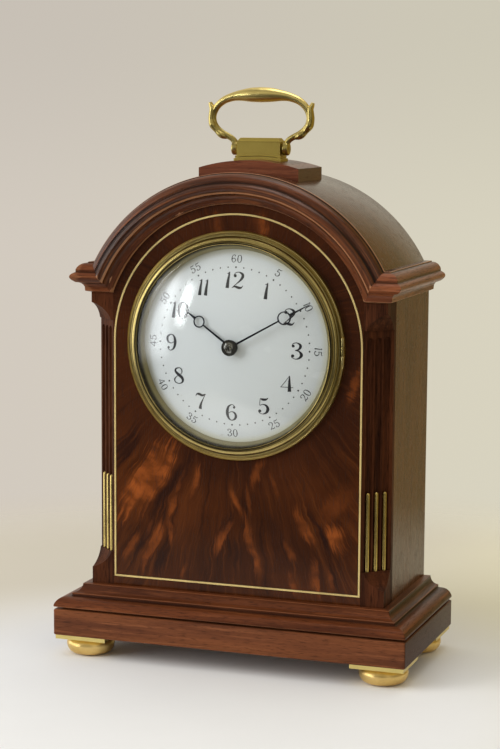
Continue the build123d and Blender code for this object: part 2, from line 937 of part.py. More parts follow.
# Handle block and the brass stand on it, held by bolts from inside the arch
with BuildPart() as handle_block:
    with BuildSketch(facing(block_y)):
        with Locations((0, dial_z)):
            Circle(block_radius)
            Circle(arch_radius + glue_gap, mode=Mode.SUBTRACT)
            Rectangle(
                block_width, 2 * block_radius, align=(Align.CENTER, Align.MIN), mode=Mode.INTERSECT
            )
    extrude(amount=block_depth, dir=BACK)
    for x in (-stand_bolt_spacing / 2, stand_bolt_spacing / 2):
        drill(x, handle_y, dial_z, stand_bolt_radius + screw_gap, 2 * arch_radius)
handle_block.part.label = "handle_block"
export_step(handle_block.part, "parts/handle_block.step")

stand_half = stand_width / 2
pin_spots = [
    (-stand_half - boss_gap - boss_thickness, 1),
    (stand_half + boss_gap + boss_thickness, -1),
]
pin_length = boss_thickness + boss_gap + pivot_depth


def pivot_pin(x, towards, radius, mode=Mode.ADD):
    """A pivot pin from the outer face of a handle boss into the stand."""
    with Locations((x + towards * pin_length / 2, handle_y, pivot_z)):
        Cylinder(radius, pin_length, rotation=(0, 90, 0), mode=mode)


with BuildPart() as handle_stand:
    for width, depth, rise in (
        (stand_base_width, stand_base_depth, stand_base_rise),
        (stand_step_width, stand_step_depth, stand_step_rise),
    ):
        with BuildSketch(facing(handle_y)):
            with Locations((0, dial_z)):
                Circle(block_radius + rise)
                Rectangle(width, 3 * block_radius, mode=Mode.INTERSECT)
                Rectangle(
                    width, 3 * block_radius, align=(Align.CENTER, Align.MIN), mode=Mode.INTERSECT
                )
        extrude(amount=depth / 2, both=True)
    with BuildSketch(facing(handle_y)):
        with BuildLine():
            shoulder = block_top + stand_height - stand_bevel
            peak = block_top + stand_height
            Polyline(
                (-stand_half, dial_z),
                (stand_half, dial_z),
                (stand_half, shoulder),
                (stand_half - stand_bevel / 2, peak),
                (-stand_half + stand_bevel / 2, peak),
                (-stand_half, shoulder),
                close=True,
            )
        make_face()
    extrude(amount=stand_depth / 2, both=True)
    bore((0, 0), handle_y - stand_base_depth, block_radius + glue_gap, 2 * stand_base_depth)
    ridge = handle_stand.edges().filter_by(Axis.X).group_by(Axis.Z)[-1]
    chamfer(ridge, length=stand_bevel / 2)
    for x in (-stand_bolt_spacing / 2, stand_bolt_spacing / 2):
        drill(x, handle_y, dial_z, stand_bolt_radius + screw_gap, block_radius + stand_bolt_grip)
    for x, towards in pin_spots:
        pivot_pin(x, towards, pivot_radius + press_gap, mode=Mode.SUBTRACT)
handle_stand.part.label = "handle_stand"
export_step(handle_stand.part, "parts/handle_stand.step")

with BuildPart() as stand_bolts:
    for x in (-stand_bolt_spacing / 2, stand_bolt_spacing / 2):
        seat = dial_z + sqrt(arch_inner**2 - (stand_bolt_spacing / 2 + stand_bolt_head_radius) ** 2)
        post(x, handle_y, seat, stand_bolt_radius, block_top + stand_bolt_grip - stand_bolt_end_room - seat)
        post(x, handle_y, seat - stand_bolt_head, stand_bolt_head_radius, stand_bolt_head)
stand_bolts.part.label = "stand_bolts"
export_step(stand_bolts.part, "parts/stand_bolts.step")

with BuildPart() as handle_pins:
    for x, towards in pin_spots:
        pivot_pin(x, towards, pivot_radius)
handle_pins.part.label = "handle_pins"
export_step(handle_pins.part, "parts/handle_pins.step")

# Carrying handle: a swelling grip, two curved arms with leaf tips, and a boss at each end
boss_middle = stand_half + boss_gap + boss_thickness / 2


def grip_point(share, height):
    """A point on the middle line of the grip, as x and z."""
    return (share * handle_half_width, pivot_z + height * handle_rise)


def grip_circle(spot, angle, radius):
    """A round section of the grip, square to its middle line."""
    tangent = (cos(radians(angle)), 0, sin(radians(angle)))
    with BuildSketch(Plane(origin=(spot[0], handle_y, spot[1]), x_dir=(0, 1, 0), z_dir=tangent)) as section:
        Circle(radius)
    return section.sketch


with BuildPart() as carrying_handle:
    grip = [(grip_point(-share, height), radius) for share, height, radius in reversed(grip_sections[1:])]
    grip += [(grip_point(share, height), radius) for share, height, radius in grip_sections]
    sections = []
    for index, (spot, radius) in enumerate(grip):
        before = grip[max(index - 1, 0)][0]
        after = grip[min(index + 1, len(grip) - 1)][0]
        sections.append(grip_circle(spot, heading(before, after), radius * handle_swell_radius))
    loft(sections)
    for side in (-1, 1):
        shoulder = grip_point(side * grip_sections[-1][0], grip_sections[-1][1])
        with BuildLine(facing(handle_y)) as arm_line:
            FilletPolyline(
                shoulder,
                (side * (handle_half_width + handle_elbow_out), pivot_z + handle_elbow_rise),
                (side * (handle_half_width - handle_knee_in), pivot_z + handle_knee_rise),
                (side * (boss_middle + handle_ankle_out), pivot_z + handle_ankle_rise),
                (side * boss_middle, pivot_z),
                radius=handle_bend_radius,
            )
        with BuildSketch(Plane(arm_line.line @ 0, z_dir=arm_line.line % 0)):
            Circle(handle_arm_radius)
        sweep(path=arm_line.line)
        with Locations((shoulder[0], handle_y, shoulder[1])):
            Sphere(handle_arm_radius)
        with Locations((side * (handle_half_width + leaf_tip_out), handle_y, pivot_z + leaf_tip_rise)):
            Sphere(leaf_tip_radius)
        with Locations((side * (handle_half_width + leaf_knee_out), handle_y, pivot_z + leaf_knee_rise)):
            Sphere(leaf_knee_radius)
        with Locations((side * boss_middle, handle_y, pivot_z)):
            Cylinder(boss_radius, boss_thickness, rotation=(0, 90, 0))
    for x, towards in pin_spots:
        pivot_pin(x, towards, pivot_radius + pivot_gap, mode=Mode.SUBTRACT)
carrying_handle.part.label = "carrying_handle"
export_step(carrying_handle.part, "parts/carrying_handle.step")

# Bezel: a fixed ring with a tube through the front board, and a hinged reeded door with the glass
hinge_x = door_radius + bezel_hinge_offset
hinge_y = front_y - bezel_flange - hinge_radius - door_gap / 2
door_back = front_y - bezel_flange - door_gap
door_front = front_y - door_height
knuckle_length = (hinge_length - hinge_middle) / 2 - hinge_gap
knuckle_starts = (-hinge_length / 2, hinge_middle / 2 + hinge_gap)
plate_screw_circle = (bezel_tube_radius + bezel_tube_bore) / 2
plate_screw_spots = [away((0, 0), plate_screw_circle, angle) for angle in plate_screw_angles]


def hinge_barrel(x, y, low, length, radius):
    """An upright stretch of hinge, its low end counted from the middle of the dial."""
    post(x, y, dial_z + low, radius, length)


def hinge_bore(x, y, low, length, radius):
    """An upright hole for a stretch of hinge."""
    drill(x, y, dial_z + low, radius, length)


with BuildPart() as bezel_ring:
    with BuildSketch(Plane.YZ):
        with BuildLine():
            bead_top = front_y - bezel_bead_height + bezel_bead / 2
            Polyline(
                (bead_top, dial_z + bezel_radius),
                (front_y, dial_z + bezel_radius),
                (front_y, dial_z + bezel_tube_radius),
                (front_y + bezel_tube_length, dial_z + bezel_tube_radius),
                (front_y + bezel_tube_length, dial_z + bezel_tube_bore),
                (front_y - bezel_flange, dial_z + bezel_tube_bore),
                (front_y - bezel_flange, dial_z + bezel_radius - bezel_bead),
                (bead_top, dial_z + bezel_radius - bezel_bead),
            )
            ThreePointArc(
                (bead_top, dial_z + bezel_radius - bezel_bead),
                (front_y - bezel_bead_height, dial_z + bezel_radius - bezel_bead / 2),
                (bead_top, dial_z + bezel_radius),
            )
        make_face()
    revolve(axis=dial_axis)
    notch_z = dial_z - hinge_length / 2 - hinge_gap
    block(
        door_radius - hinge_radius,
        front_y - bezel_flange - bezel_bead_height,
        notch_z,
        (4 * hinge_radius, bezel_bead_height, hinge_length + 2 * hinge_gap),
        mode=Mode.SUBTRACT,
    )
    for low in knuckle_starts:
        hinge_barrel(hinge_x, hinge_y, low, knuckle_length, hinge_radius)
        block(
            hinge_x - hinge_radius / 2,
            hinge_y,
            dial_z + low,
            (hinge_radius, front_y - bezel_flange - hinge_y, knuckle_length),
        )
    hinge_bore(hinge_x, hinge_y, -hinge_length / 2, hinge_length, hinge_pin_radius + hinge_pin_gap)
    for spot in plate_screw_spots:
        bore(spot, train_y - plate_screw_length, plate_screw_radius + press_gap, plate_screw_length)
bezel_ring.part.label = "bezel_ring"
export_step(bezel_ring.part, "parts/bezel_ring.step")

lip_back = door_front + door_lip_thickness
lip_outer = door_lip_radius + door_lip_width
reed_step_r = (door_radius - lip_outer) / door_reed_count
reed_step_y = (door_back - door_edge - door_front) / door_reed_count

with BuildPart() as bezel_door:
    with BuildSketch(Plane.YZ):
        with BuildLine():
            Polyline(
                (door_front, dial_z + lip_outer),
                (door_front, dial_z + door_lip_radius),
                (lip_back, dial_z + door_lip_radius),
                (lip_back, dial_z + glass_seat_radius),
                (door_back, dial_z + glass_seat_radius),
                (door_back, dial_z + door_radius),
                (door_back - door_edge, dial_z + door_radius),
            )
            for reed in range(door_reed_count):
                start = (
                    door_back - door_edge - reed * reed_step_y,
                    dial_z + door_radius - reed * reed_step_r,
                )
                end = (start[0] - reed_step_y, start[1] - reed_step_r)
                SagittaArc(start, end, -door_reed_swell)
        make_face()
    revolve(axis=dial_axis)
    for low in knuckle_starts:
        hinge_bore(
            hinge_x,
            hinge_y,
            low - hinge_gap,
            knuckle_length + 2 * hinge_gap,
            hinge_radius + hinge_gap,
        )
    hinge_barrel(hinge_x, hinge_y, -hinge_middle / 2, hinge_middle, hinge_radius)
    block(
        door_radius - hinge_leaf,
        hinge_y - hinge_radius / 2,
        dial_z - hinge_middle / 2,
        (hinge_x - door_radius + hinge_leaf, hinge_radius, hinge_middle),
    )
    hinge_bore(hinge_x, hinge_y, -hinge_length / 2, hinge_length, hinge_pin_radius + hinge_pin_gap)
bezel_door.part.label = "bezel_door"
export_step(bezel_door.part, "parts/bezel_door.step")

glass_front = lip_back + glass_gap
glass_back = glass_front + glass_thickness
glass_rim = door_lip_radius - glass_gap
glass_inner_rim = glass_rim - glass_thickness

with BuildPart() as dial_glass:
    with BuildSketch(Plane.YZ):
        with BuildLine():
            dome = glass_front - glass_dome
            sphere = (glass_rim**2 + glass_dome**2) / (2 * glass_dome)
            half = sphere - sqrt(sphere**2 - (glass_rim / 2) ** 2)
            inner_dome = dome + glass_thickness
            inner_rise = glass_back - inner_dome
            inner_sphere = (glass_inner_rim**2 + inner_rise**2) / (2 * inner_rise)
            inner_half = inner_sphere - sqrt(inner_sphere**2 - (glass_inner_rim / 2) ** 2)
            ThreePointArc(
                (dome, dial_z),
                (dome + half, dial_z + glass_rim / 2),
                (glass_front, dial_z + glass_rim),
            )
            Polyline(
                (glass_front, dial_z + glass_rim),
                (glass_front, dial_z + glass_radius),
                (glass_back, dial_z + glass_radius),
                (glass_back, dial_z + glass_inner_rim),
            )
            ThreePointArc(
                (glass_back, dial_z + glass_inner_rim),
                (inner_dome + inner_half, dial_z + glass_inner_rim / 2),
                (inner_dome, dial_z),
            )
            Line((inner_dome, dial_z), (dome, dial_z))
        make_face()
    revolve(axis=dial_axis)
dial_glass.part.label = "dial_glass"
export_step(dial_glass.part, "parts/dial_glass.step")

sight_y = dial_y + dial_sag(sight_radius) - sight_gap

with BuildPart() as sight_ring:
    with BuildSketch(Plane.YZ):
        with BuildLine():
            Polyline(
                (glass_back + glass_gap, dial_z + glass_radius),
                (glass_back + glass_gap, dial_z + glass_radius - sight_wall),
                (sight_y, dial_z + sight_radius),
                (sight_y, dial_z + sight_radius + sight_wall),
                (door_back, dial_z + glass_radius),
                close=True,
            )
        make_face()
    revolve(axis=dial_axis)
sight_ring.part.label = "sight_ring"
export_step(sight_ring.part, "parts/sight_ring.step")

# Dial: a convex enamelled disc with three feet through the front plate
dial_foot_spots = [away((0, 0), dial_foot_circle, angle) for angle in dial_foot_angles]
dial_mid_sag = dial_sag(dial_radius / 2)

with BuildPart() as dial:
    with BuildSketch(Plane.YZ):
        with BuildLine():
            for lift in (0, dial_thickness):
                ThreePointArc(
                    (dial_y + lift, dial_z),
                    (dial_y + lift + dial_mid_sag, dial_z + dial_radius / 2),
                    (dial_y + lift + dial_crown, dial_z + dial_radius),
                )
            Line((dial_y, dial_z), (dial_y + dial_thickness, dial_z))
            Line(
                (dial_y + dial_crown, dial_z + dial_radius),
                (dial_y + dial_crown + dial_thickness, dial_z + dial_radius),
            )
        make_face()
    revolve(axis=dial_axis)
    bore((0, 0), dial_y - dial_thickness, dial_hole_radius, 3 * dial_thickness)
dial.part.label = "dial"
export_step(dial.part, "parts/dial.step")

with BuildPart() as dial_feet:
    foot_y = dial_y + dial_thickness + dial_sag(dial_foot_circle + dial_foot_radius)
    for spot in dial_foot_spots:
        rod(spot, foot_y, dial_foot_radius, train_y - foot_y)
dial_feet.part.label = "dial_feet"
export_step(dial_feet.part, "parts/dial_feet.step")


# Hands: a ring on a slim tapered blade, bent to follow the dial
def make_hand(length, ring_centre, lift, clock_angle, hub_hole):
    """One hand, pointing at an angle clockwise from twelve."""
    turn = 90 - clock_angle
    with BuildPart() as hand:
        with BuildSketch(from_dial(dial_y - dial_crown - 2 * minute_hand_lift, turn=turn)):
            with BuildLine():
                Polyline(
                    (0, -hand_root_width / 2),
                    (ring_centre - hand_ring_radius + hand_ring_lap, -hand_neck_width / 2),
                    (ring_centre - hand_ring_radius + hand_ring_lap, hand_neck_width / 2),
                    (0, hand_root_width / 2),
                    close=True,
                )
            make_face()
            with BuildLine():
                Polyline(
                    (ring_centre + hand_ring_radius - hand_ring_lap, -hand_tip_root_width / 2),
                    (length, -hand_tip_width / 2),
                    (length, hand_tip_width / 2),
                    (ring_centre + hand_ring_radius - hand_ring_lap, hand_tip_root_width / 2),
                    close=True,
                )
            make_face()
            with Locations((ring_centre, 0)):
                Circle(hand_ring_radius)
                Circle(hand_ring_radius - hand_ring_width, mode=Mode.SUBTRACT)
            Circle(hand_hub_radius)
            Circle(hub_hole, mode=Mode.SUBTRACT)
        extrude(amount=4 * dial_crown, dir=BACK)
        with Locations((0, dial_sphere_y, dial_z)):
            Sphere(dial_sphere + lift + hand_thickness, mode=Mode.INTERSECT)
            Sphere(dial_sphere + lift, mode=Mode.SUBTRACT)
    return hand


hour_hand_angle = 300 + minute_hand_angle / 12
minute_hand = make_hand(
    minute_hand_length, minute_ring_centre, minute_hand_lift, minute_hand_angle, cannon_radius + press_gap
)
minute_hand.part.label = "minute_hand"
export_step(minute_hand.part, "parts/minute_hand.step")

hour_hand = make_hand(
    hour_hand_length, hour_ring_centre, hour_hand_lift, hour_hand_angle, hour_pipe_radius + press_gap
)
hour_hand.part.label = "hour_hand"
export_step(hour_hand.part, "parts/hour_hand.step")

minute_hand_y = dial_y - minute_hand_lift - hand_thickness
cannon_front = minute_hand_y - cannon_past_hand
arbor_front = cannon_front - arbor_past_cannon

with BuildPart() as hand_collet:
    collet_seat = minute_hand_y - press_gap
    collet_sphere = (collet_radius**2 + collet_height**2) / (2 * collet_height)
    rod((0, 0), collet_seat - collet_height, collet_radius, collet_height)
    with Locations((0, collet_seat - collet_height + collet_sphere, dial_z)):
        Sphere(collet_sphere, mode=Mode.INTERSECT)
    bore((0, 0), cannon_front, cannon_radius + press_gap, collet_height)
    bore((0, 0), arbor_front, centre_pin_radius + press_gap, collet_height)
hand_collet.part.label = "hand_collet"
export_step(hand_collet.part, "parts/hand_collet.step")

# Places of the arbors, counted from the middle of the dial
centre = (0.0, 0.0)
barrel_spot = away(centre, (barrel_teeth + centre_pinion_leaves) * barrel_module / 2, barrel_angle)
third_spot = away(centre, (centre_teeth + third_pinion_leaves) * centre_module / 2, third_angle)
fourth_spot = away(third_spot, (third_teeth + fourth_pinion_leaves) * third_module / 2, fourth_angle)
escape_spot = away(fourth_spot, (fourth_teeth + escape_pinion_leaves) * fourth_module / 2, escape_angle)
pallet_spot = away(escape_spot, pallet_distance, lever_line)
balance_spot = away(pallet_spot, balance_distance, lever_line)
minute_stud_length = 2 * motion_thickness + motion_gap + motion_step + minute_stud_end
minute_spot = away(centre, (cannon_leaves + minute_wheel_teeth) * minute_module / 2, minute_stud_angle)
pillar_spots = [away(centre, pillar_circle, angle) for angle in pillar_angles]
click_spot = away(barrel_spot, click_length, click_swing)
winding_pivot_radius = winding_arbor_radius - winding_pivot_step

# Plates and pillars
with BuildPart() as front_plate:
    rod(centre, plate_y, bezel_tube_radius, plate_thickness)
    rod(minute_spot, plate_y - minute_stud_length, minute_stud_radius, minute_stud_length)
    bore(centre, plate_y, arbor_radius + bearing_gap, plate_thickness)
    bore(barrel_spot, plate_y, winding_pivot_radius + bearing_gap, plate_thickness)
    for spot in (third_spot, fourth_spot, escape_spot):
        bore(spot, plate_y, pivot_pin_radius + bearing_gap, plate_thickness)
    for spot in dial_foot_spots:
        bore(spot, plate_y, dial_foot_radius + press_gap, plate_thickness)
    for spot in pillar_spots:
        bore(spot, plate_y, pillar_screw_radius + press_gap, plate_thickness)
    for spot in plate_screw_spots:
        bore(spot, plate_y, plate_screw_radius + press_gap, plate_thickness)
    for height in (-strap_lug_screw, strap_lug_screw):
        bore((0, height), plate_y, strap_screw_radius + press_gap, plate_thickness)
front_plate.part.label = "front_plate"
export_step(front_plate.part, "parts/front_plate.step")

with BuildPart() as back_plate:
    rod(centre, back_plate_y, back_plate_radius, plate_thickness)
    bore(centre, back_plate_y, arbor_radius + bearing_gap, plate_thickness)
    bore(barrel_spot, back_plate_y, winding_arbor_radius + bearing_gap, plate_thickness)
    for spot in (third_spot, fourth_spot):
        bore(spot, back_plate_y, pivot_pin_radius + bearing_gap, plate_thickness)
    bore(escape_spot, back_plate_y, arbor_radius, plate_thickness)
    rod(click_spot, back_plate_y, click_pivot_radius, plate_thickness + ratchet_gap + ratchet_thickness)
    for spot in pillar_spots:
        bore(spot, back_plate_y, pillar_screw_radius + press_gap, plate_thickness)
back_plate.part.label = "back_plate"
export_step(back_plate.part, "parts/back_plate.step")

with BuildPart() as pillars:
    for spot in pillar_spots:
        rod(spot, train_y, pillar_radius, plate_gap)
        rod(spot, plate_y, pillar_screw_radius, plate_thickness)
        hole_length = pillar_screw_length - plate_thickness + pillar_hole_room
        bore(spot, back_plate_y - hole_length, pillar_screw_radius + press_gap, hole_length)
pillars.part.label = "pillars"
export_step(pillars.part, "parts/pillars.step")

with BuildPart() as movement_screws:
    for spot in pillar_spots:
        rod(spot, rear_y - pillar_screw_length, pillar_screw_radius, pillar_screw_length)
        rod(spot, rear_y, pillar_screw_head_radius, pillar_screw_head)
    for spot in plate_screw_spots:
        rod(spot, train_y - plate_screw_length, plate_screw_radius, plate_screw_length)
movement_screws.part.label = "movement_screws"
export_step(movement_screws.part, "parts/movement_screws.step")

# Barrel with its great wheel, cap and mainspring
great_y = train_y + great_wheel_depth
drum_y = great_y + great_wheel_thickness
cap_y = drum_y + barrel_height - barrel_cap_thickness
to_centre = barrel_angle + 180

with BuildPart() as barrel:
    extrude(
        gear_outline(from_dial(great_y, barrel_spot), barrel_teeth, barrel_module, to_centre),
        amount=great_wheel_thickness,
        dir=BACK,
    )
    rod(barrel_spot, drum_y, barrel_radius, barrel_height)
    bore(barrel_spot, drum_y, barrel_radius - barrel_wall, barrel_height)
    bore(barrel_spot, great_y, winding_arbor_radius + bearing_gap, great_wheel_thickness)
barrel.part.label = "barrel"
export_step(barrel.part, "parts/barrel.step")

with BuildPart() as barrel_cap:
    rod(barrel_spot, cap_y, barrel_radius - barrel_wall - press_gap, barrel_cap_thickness)
    bore(barrel_spot, cap_y, winding_arbor_radius + bearing_gap, barrel_cap_thickness)
barrel_cap.part.label = "barrel_cap"
export_step(barrel_cap.part, "parts/barrel_cap.step")

with BuildPart() as mainspring:
    ribbon_inner = winding_hub_radius + spring_inner_gap
    ribbon_outer = barrel_radius - barrel_wall - spring_outer_gap
    ribbon_plane = from_dial(drum_y + spring_side_gap, barrel_spot)
    extrude(
        spiral_ribbon(ribbon_plane, ribbon_inner, ribbon_outer, spring_turns, spring_ribbon),
        amount=cap_y - drum_y - 2 * spring_side_gap,
        dir=BACK,
    )
mainspring.part.label = "mainspring"
export_step(mainspring.part, "parts/mainspring.step")

# Winding arbor, ratchet, click and click spring
ratchet_y = rear_y + ratchet_gap
to_click = heading(barrel_spot, click_spot)

with BuildPart() as winding_arbor:
    shoulder_y = train_y + winding_shoulder_gap
    rod(barrel_spot, plate_y, winding_pivot_radius, shoulder_y - plate_y)
    rod(barrel_spot, shoulder_y, winding_arbor_radius, ratchet_y + ratchet_thickness - shoulder_y)
    rod(barrel_spot, drum_y + winding_hub_gap, winding_hub_radius, cap_y - drum_y - 2 * winding_hub_gap)
    with BuildSketch(from_dial(ratchet_y + ratchet_thickness, barrel_spot)):
        Rectangle(winding_square, winding_square)
    extrude(amount=winding_reach, dir=BACK)
winding_arbor.part.label = "winding_arbor"
export_step(winding_arbor.part, "parts/winding_arbor.step")

with BuildPart() as ratchet_wheel:
    extrude(
        saw_outline(
            from_dial(ratchet_y, barrel_spot), ratchet_teeth, ratchet_radius, ratchet_root_radius, to_click
        ),
        amount=ratchet_thickness,
        dir=BACK,
    )
    bore(barrel_spot, ratchet_y, winding_arbor_radius + press_gap, ratchet_thickness)
ratchet_wheel.part.label = "ratchet_wheel"
export_step(ratchet_wheel.part, "parts/ratchet_wheel.step")

with BuildPart() as click:
    with BuildSketch(from_dial(ratchet_y, click_spot, to_click)):
        Circle(click_boss_radius)
        with BuildLine():
            tip = ratchet_radius + click_tip_gap - click_length
            Polyline(
                (tip, 0),
                (tip, click_tip_width),
                (0, click_boss_radius),
                (0, -click_boss_radius),
                close=True,
            )
        make_face()
        Circle(click_pivot_radius + bearing_gap, mode=Mode.SUBTRACT)
    extrude(amount=ratchet_thickness, dir=BACK)
click.part.label = "click"
export_step(click.part, "parts/click.step")

with BuildPart() as click_spring:
    with BuildSketch(from_dial(rear_y, click_spot, to_click)):
        leaf_offset = click_boss_radius + click_tip_gap + click_spring_width / 2
        with Locations((-click_spring_lap, leaf_offset)):
            Rectangle(click_spring_length, click_spring_width, align=(Align.MIN, Align.CENTER))
        with Locations((click_spring_length - click_spring_lap, leaf_offset)):
            Circle(click_spring_foot_radius)
    extrude(amount=ratchet_gap + ratchet_thickness, dir=BACK)
click_spring.part.label = "click_spring"
export_step(click_spring.part, "parts/click_spring.step")

# Train wheels between the plates
third_y = train_y + third_wheel_depth
centre_wheel_y = train_y + centre_wheel_depth
fourth_y = train_y + fourth_wheel_depth
pinion_length = train_wheel_thickness + 2 * pinion_overlap

with BuildPart() as centre_wheel:
    add_wheel(centre, centre_wheel_y, centre_teeth, centre_module, train_wheel_thickness, third_angle)
    add_pinion(
        centre,
        great_y - pinion_overlap / 2,
        centre_pinion_leaves,
        barrel_module,
        great_wheel_thickness + pinion_overlap,
        gap_angle(centre_pinion_leaves, barrel_angle),
    )
    rod(centre, plate_y, arbor_radius, rear_y - plate_y)
    rod(centre, arbor_front, centre_pin_radius, plate_y - arbor_front)
    with BuildSketch(from_dial(rear_y)):
        Circle(arbor_radius)
    extrude(amount=setting_reach / 2, dir=BACK)
    with BuildSketch(from_dial(rear_y + setting_reach / 2)):
        Rectangle(setting_square, setting_square)
    extrude(amount=setting_reach / 2, dir=BACK)
centre_wheel.part.label = "centre_wheel"
export_step(centre_wheel.part, "parts/centre_wheel.step")

with BuildPart() as third_wheel:
    add_wheel(third_spot, third_y, third_teeth, third_module, train_wheel_thickness, fourth_angle)
    add_pinion(
        third_spot,
        centre_wheel_y - pinion_overlap,
        third_pinion_leaves,
        centre_module,
        pinion_length,
        gap_angle(third_pinion_leaves, third_angle + 180),
    )
    rod(third_spot, train_y + bearing_gap, arbor_radius, plate_gap - 2 * bearing_gap)
    rod(third_spot, plate_y, pivot_pin_radius, rear_y - plate_y)
third_wheel.part.label = "third_wheel"
export_step(third_wheel.part, "parts/third_wheel.step")

with BuildPart() as fourth_wheel:
    add_wheel(fourth_spot, fourth_y, fourth_teeth, fourth_module, train_wheel_thickness, escape_angle)
    add_pinion(
        fourth_spot,
        third_y - pinion_overlap,
        fourth_pinion_leaves,
        third_module,
        pinion_length,
        gap_angle(fourth_pinion_leaves, fourth_angle + 180),
    )
    rod(fourth_spot, train_y + bearing_gap, fourth_arbor_radius, plate_gap - 2 * bearing_gap)
    rod(fourth_spot, plate_y, pivot_pin_radius, rear_y - plate_y)
fourth_wheel.part.label = "fourth_wheel"
export_step(fourth_wheel.part, "parts/fourth_wheel.step")

platform_top = rear_y + platform_thickness
escape_wheel_y = platform_top + escape_wheel_lift
escape_cock_y = platform_top + escape_cock_lift

with BuildPart() as escape_wheel:
    extrude(
        saw_outline(
            from_dial(escape_wheel_y, escape_spot), escape_teeth, escape_radius, escape_root_radius, 0
        ),
        amount=escape_wheel_thickness,
        dir=BACK,
    )
    add_pinion(
        escape_spot,
        fourth_y - pinion_overlap,
        escape_pinion_leaves,
        fourth_module,
        pinion_length,
        gap_angle(escape_pinion_leaves, escape_angle + 180),
    )
    rod(escape_spot, plate_y, pivot_pin_radius, escape_cock_y + cock_thickness - plate_y)
escape_wheel.part.label = "escape_wheel"
export_step(escape_wheel.part, "parts/escape_wheel.step")

# Platform escapement on the back plate
lever_y = escape_wheel_y + escape_wheel_thickness + lever_gap
balance_y = platform_top + balance_lift
roller_y = platform_top + roller_lift
balance_cock_y = platform_top + balance_cock_lift
cock_posts = [away(escape_spot, escape_cock_reach, lever_line + turn) for turn in (90, -90)]
balance_post = away(balance_spot, balance_cock_reach, balance_cock_angle)

with BuildPart() as platform:
    rod(platform_offset, rear_y, platform_radius, platform_thickness)
    bore(escape_spot, rear_y, arbor_radius, platform_thickness)
    for spot in (pallet_spot, balance_spot):
        bore(spot, rear_y, pivot_pin_radius + bearing_gap, platform_thickness)
platform.part.label = "platform"
export_step(platform.part, "parts/platform.step")

with BuildPart() as platform_cocks:
    with BuildSketch(from_dial(escape_cock_y)):
        for start, end in (cock_posts, (escape_spot, pallet_spot)):
            middle = ((start[0] + end[0]) / 2, (start[1] + end[1]) / 2)
            span = hypot(end[0] - start[0], end[1] - start[1])
            with Locations(Location((middle[0], middle[1], 0), (0, 0, heading(start, end)))):
                SlotCenterToCenter(span, cock_width)
        for spot in (escape_spot, pallet_spot):
            with Locations(spot):
                Circle(pivot_pin_radius + bearing_gap, mode=Mode.SUBTRACT)
    extrude(amount=cock_thickness, dir=BACK)
    for spot in cock_posts:
        rod(spot, platform_top, cock_post_radius, escape_cock_lift)
    with BuildSketch(from_dial(balance_cock_y)):
        middle = ((balance_spot[0] + balance_post[0]) / 2, (balance_spot[1] + balance_post[1]) / 2)
        with Locations(Location((middle[0], middle[1], 0), (0, 0, heading(balance_post, balance_spot)))):
            SlotCenterToCenter(balance_cock_reach, cock_width)
        with Locations(balance_spot):
            Circle(pivot_pin_radius + bearing_gap, mode=Mode.SUBTRACT)
    extrude(amount=cock_thickness, dir=BACK)
    rod(balance_post, platform_top, cock_post_radius, balance_cock_lift)
platform_cocks.part.label = "platform_cocks"
export_step(platform_cocks.part, "parts/platform_cocks.step")

with BuildPart() as pallet_lever:
    with BuildSketch(from_dial(lever_y, pallet_spot, lever_line)):
        fork = balance_distance - roller_radius
        Rectangle(fork, lever_width, align=(Align.MIN, Align.CENTER))
        with Locations((fork, 0)):
            Rectangle(lever_width, lever_fork_width)
        with Locations((-lever_pallet_reach, 0)):
            Rectangle(lever_width, lever_pallet_span)
        Rectangle(lever_pallet_reach, lever_width, align=(Align.MAX, Align.CENTER))
        Circle(lever_width)
    extrude(amount=lever_thickness, dir=BACK)
    rod(pallet_spot, rear_y, pivot_pin_radius, escape_cock_y + cock_thickness - rear_y)
pallet_lever.part.label = "pallet_lever"
export_step(pallet_lever.part, "parts/pallet_lever.step")

with BuildPart() as balance_wheel:
    with BuildSketch(from_dial(balance_y, balance_spot)):
        Circle(balance_radius)
        Circle(balance_radius - balance_rim, mode=Mode.SUBTRACT)
        Rectangle(2 * balance_radius - balance_rim, wheel_arm_width)
        Circle(wheel_arm_width)
    extrude(amount=balance_thickness, dir=BACK)
    rod(balance_spot, roller_y, roller_radius, roller_thickness)
    rod(balance_spot, rear_y, pivot_pin_radius, balance_cock_y + cock_thickness - rear_y)
balance_wheel.part.label = "balance_wheel"
export_step(balance_wheel.part, "parts/balance_wheel.step")

with BuildPart() as hairspring:
    extrude(
        spiral_ribbon(
            from_dial(platform_top + hairspring_lift, balance_spot),
            hairspring_inner,
            hairspring_outer,
            hairspring_turns,
            hairspring_ribbon,
        ),
        amount=hairspring_height,
        dir=BACK,
    )
hairspring.part.label = "hairspring"
export_step(hairspring.part, "parts/hairspring.step")

# Motion work in front of the front plate
minute_wheel_y = plate_y - motion_gap - motion_thickness
hour_wheel_y = minute_wheel_y - motion_step - motion_thickness
to_minute = minute_stud_angle

with BuildPart() as cannon_pinion:
    add_pinion(
        centre,
        minute_wheel_y,
        cannon_leaves,
        minute_module,
        motion_thickness,
        gap_angle(cannon_leaves, to_minute),
    )
    rod(centre, cannon_front, cannon_radius, minute_wheel_y + motion_thickness - cannon_front)
    bore(centre, cannon_front, centre_pin_radius + press_gap, plate_y - cannon_front)
cannon_pinion.part.label = "cannon_pinion"
export_step(cannon_pinion.part, "parts/cannon_pinion.step")

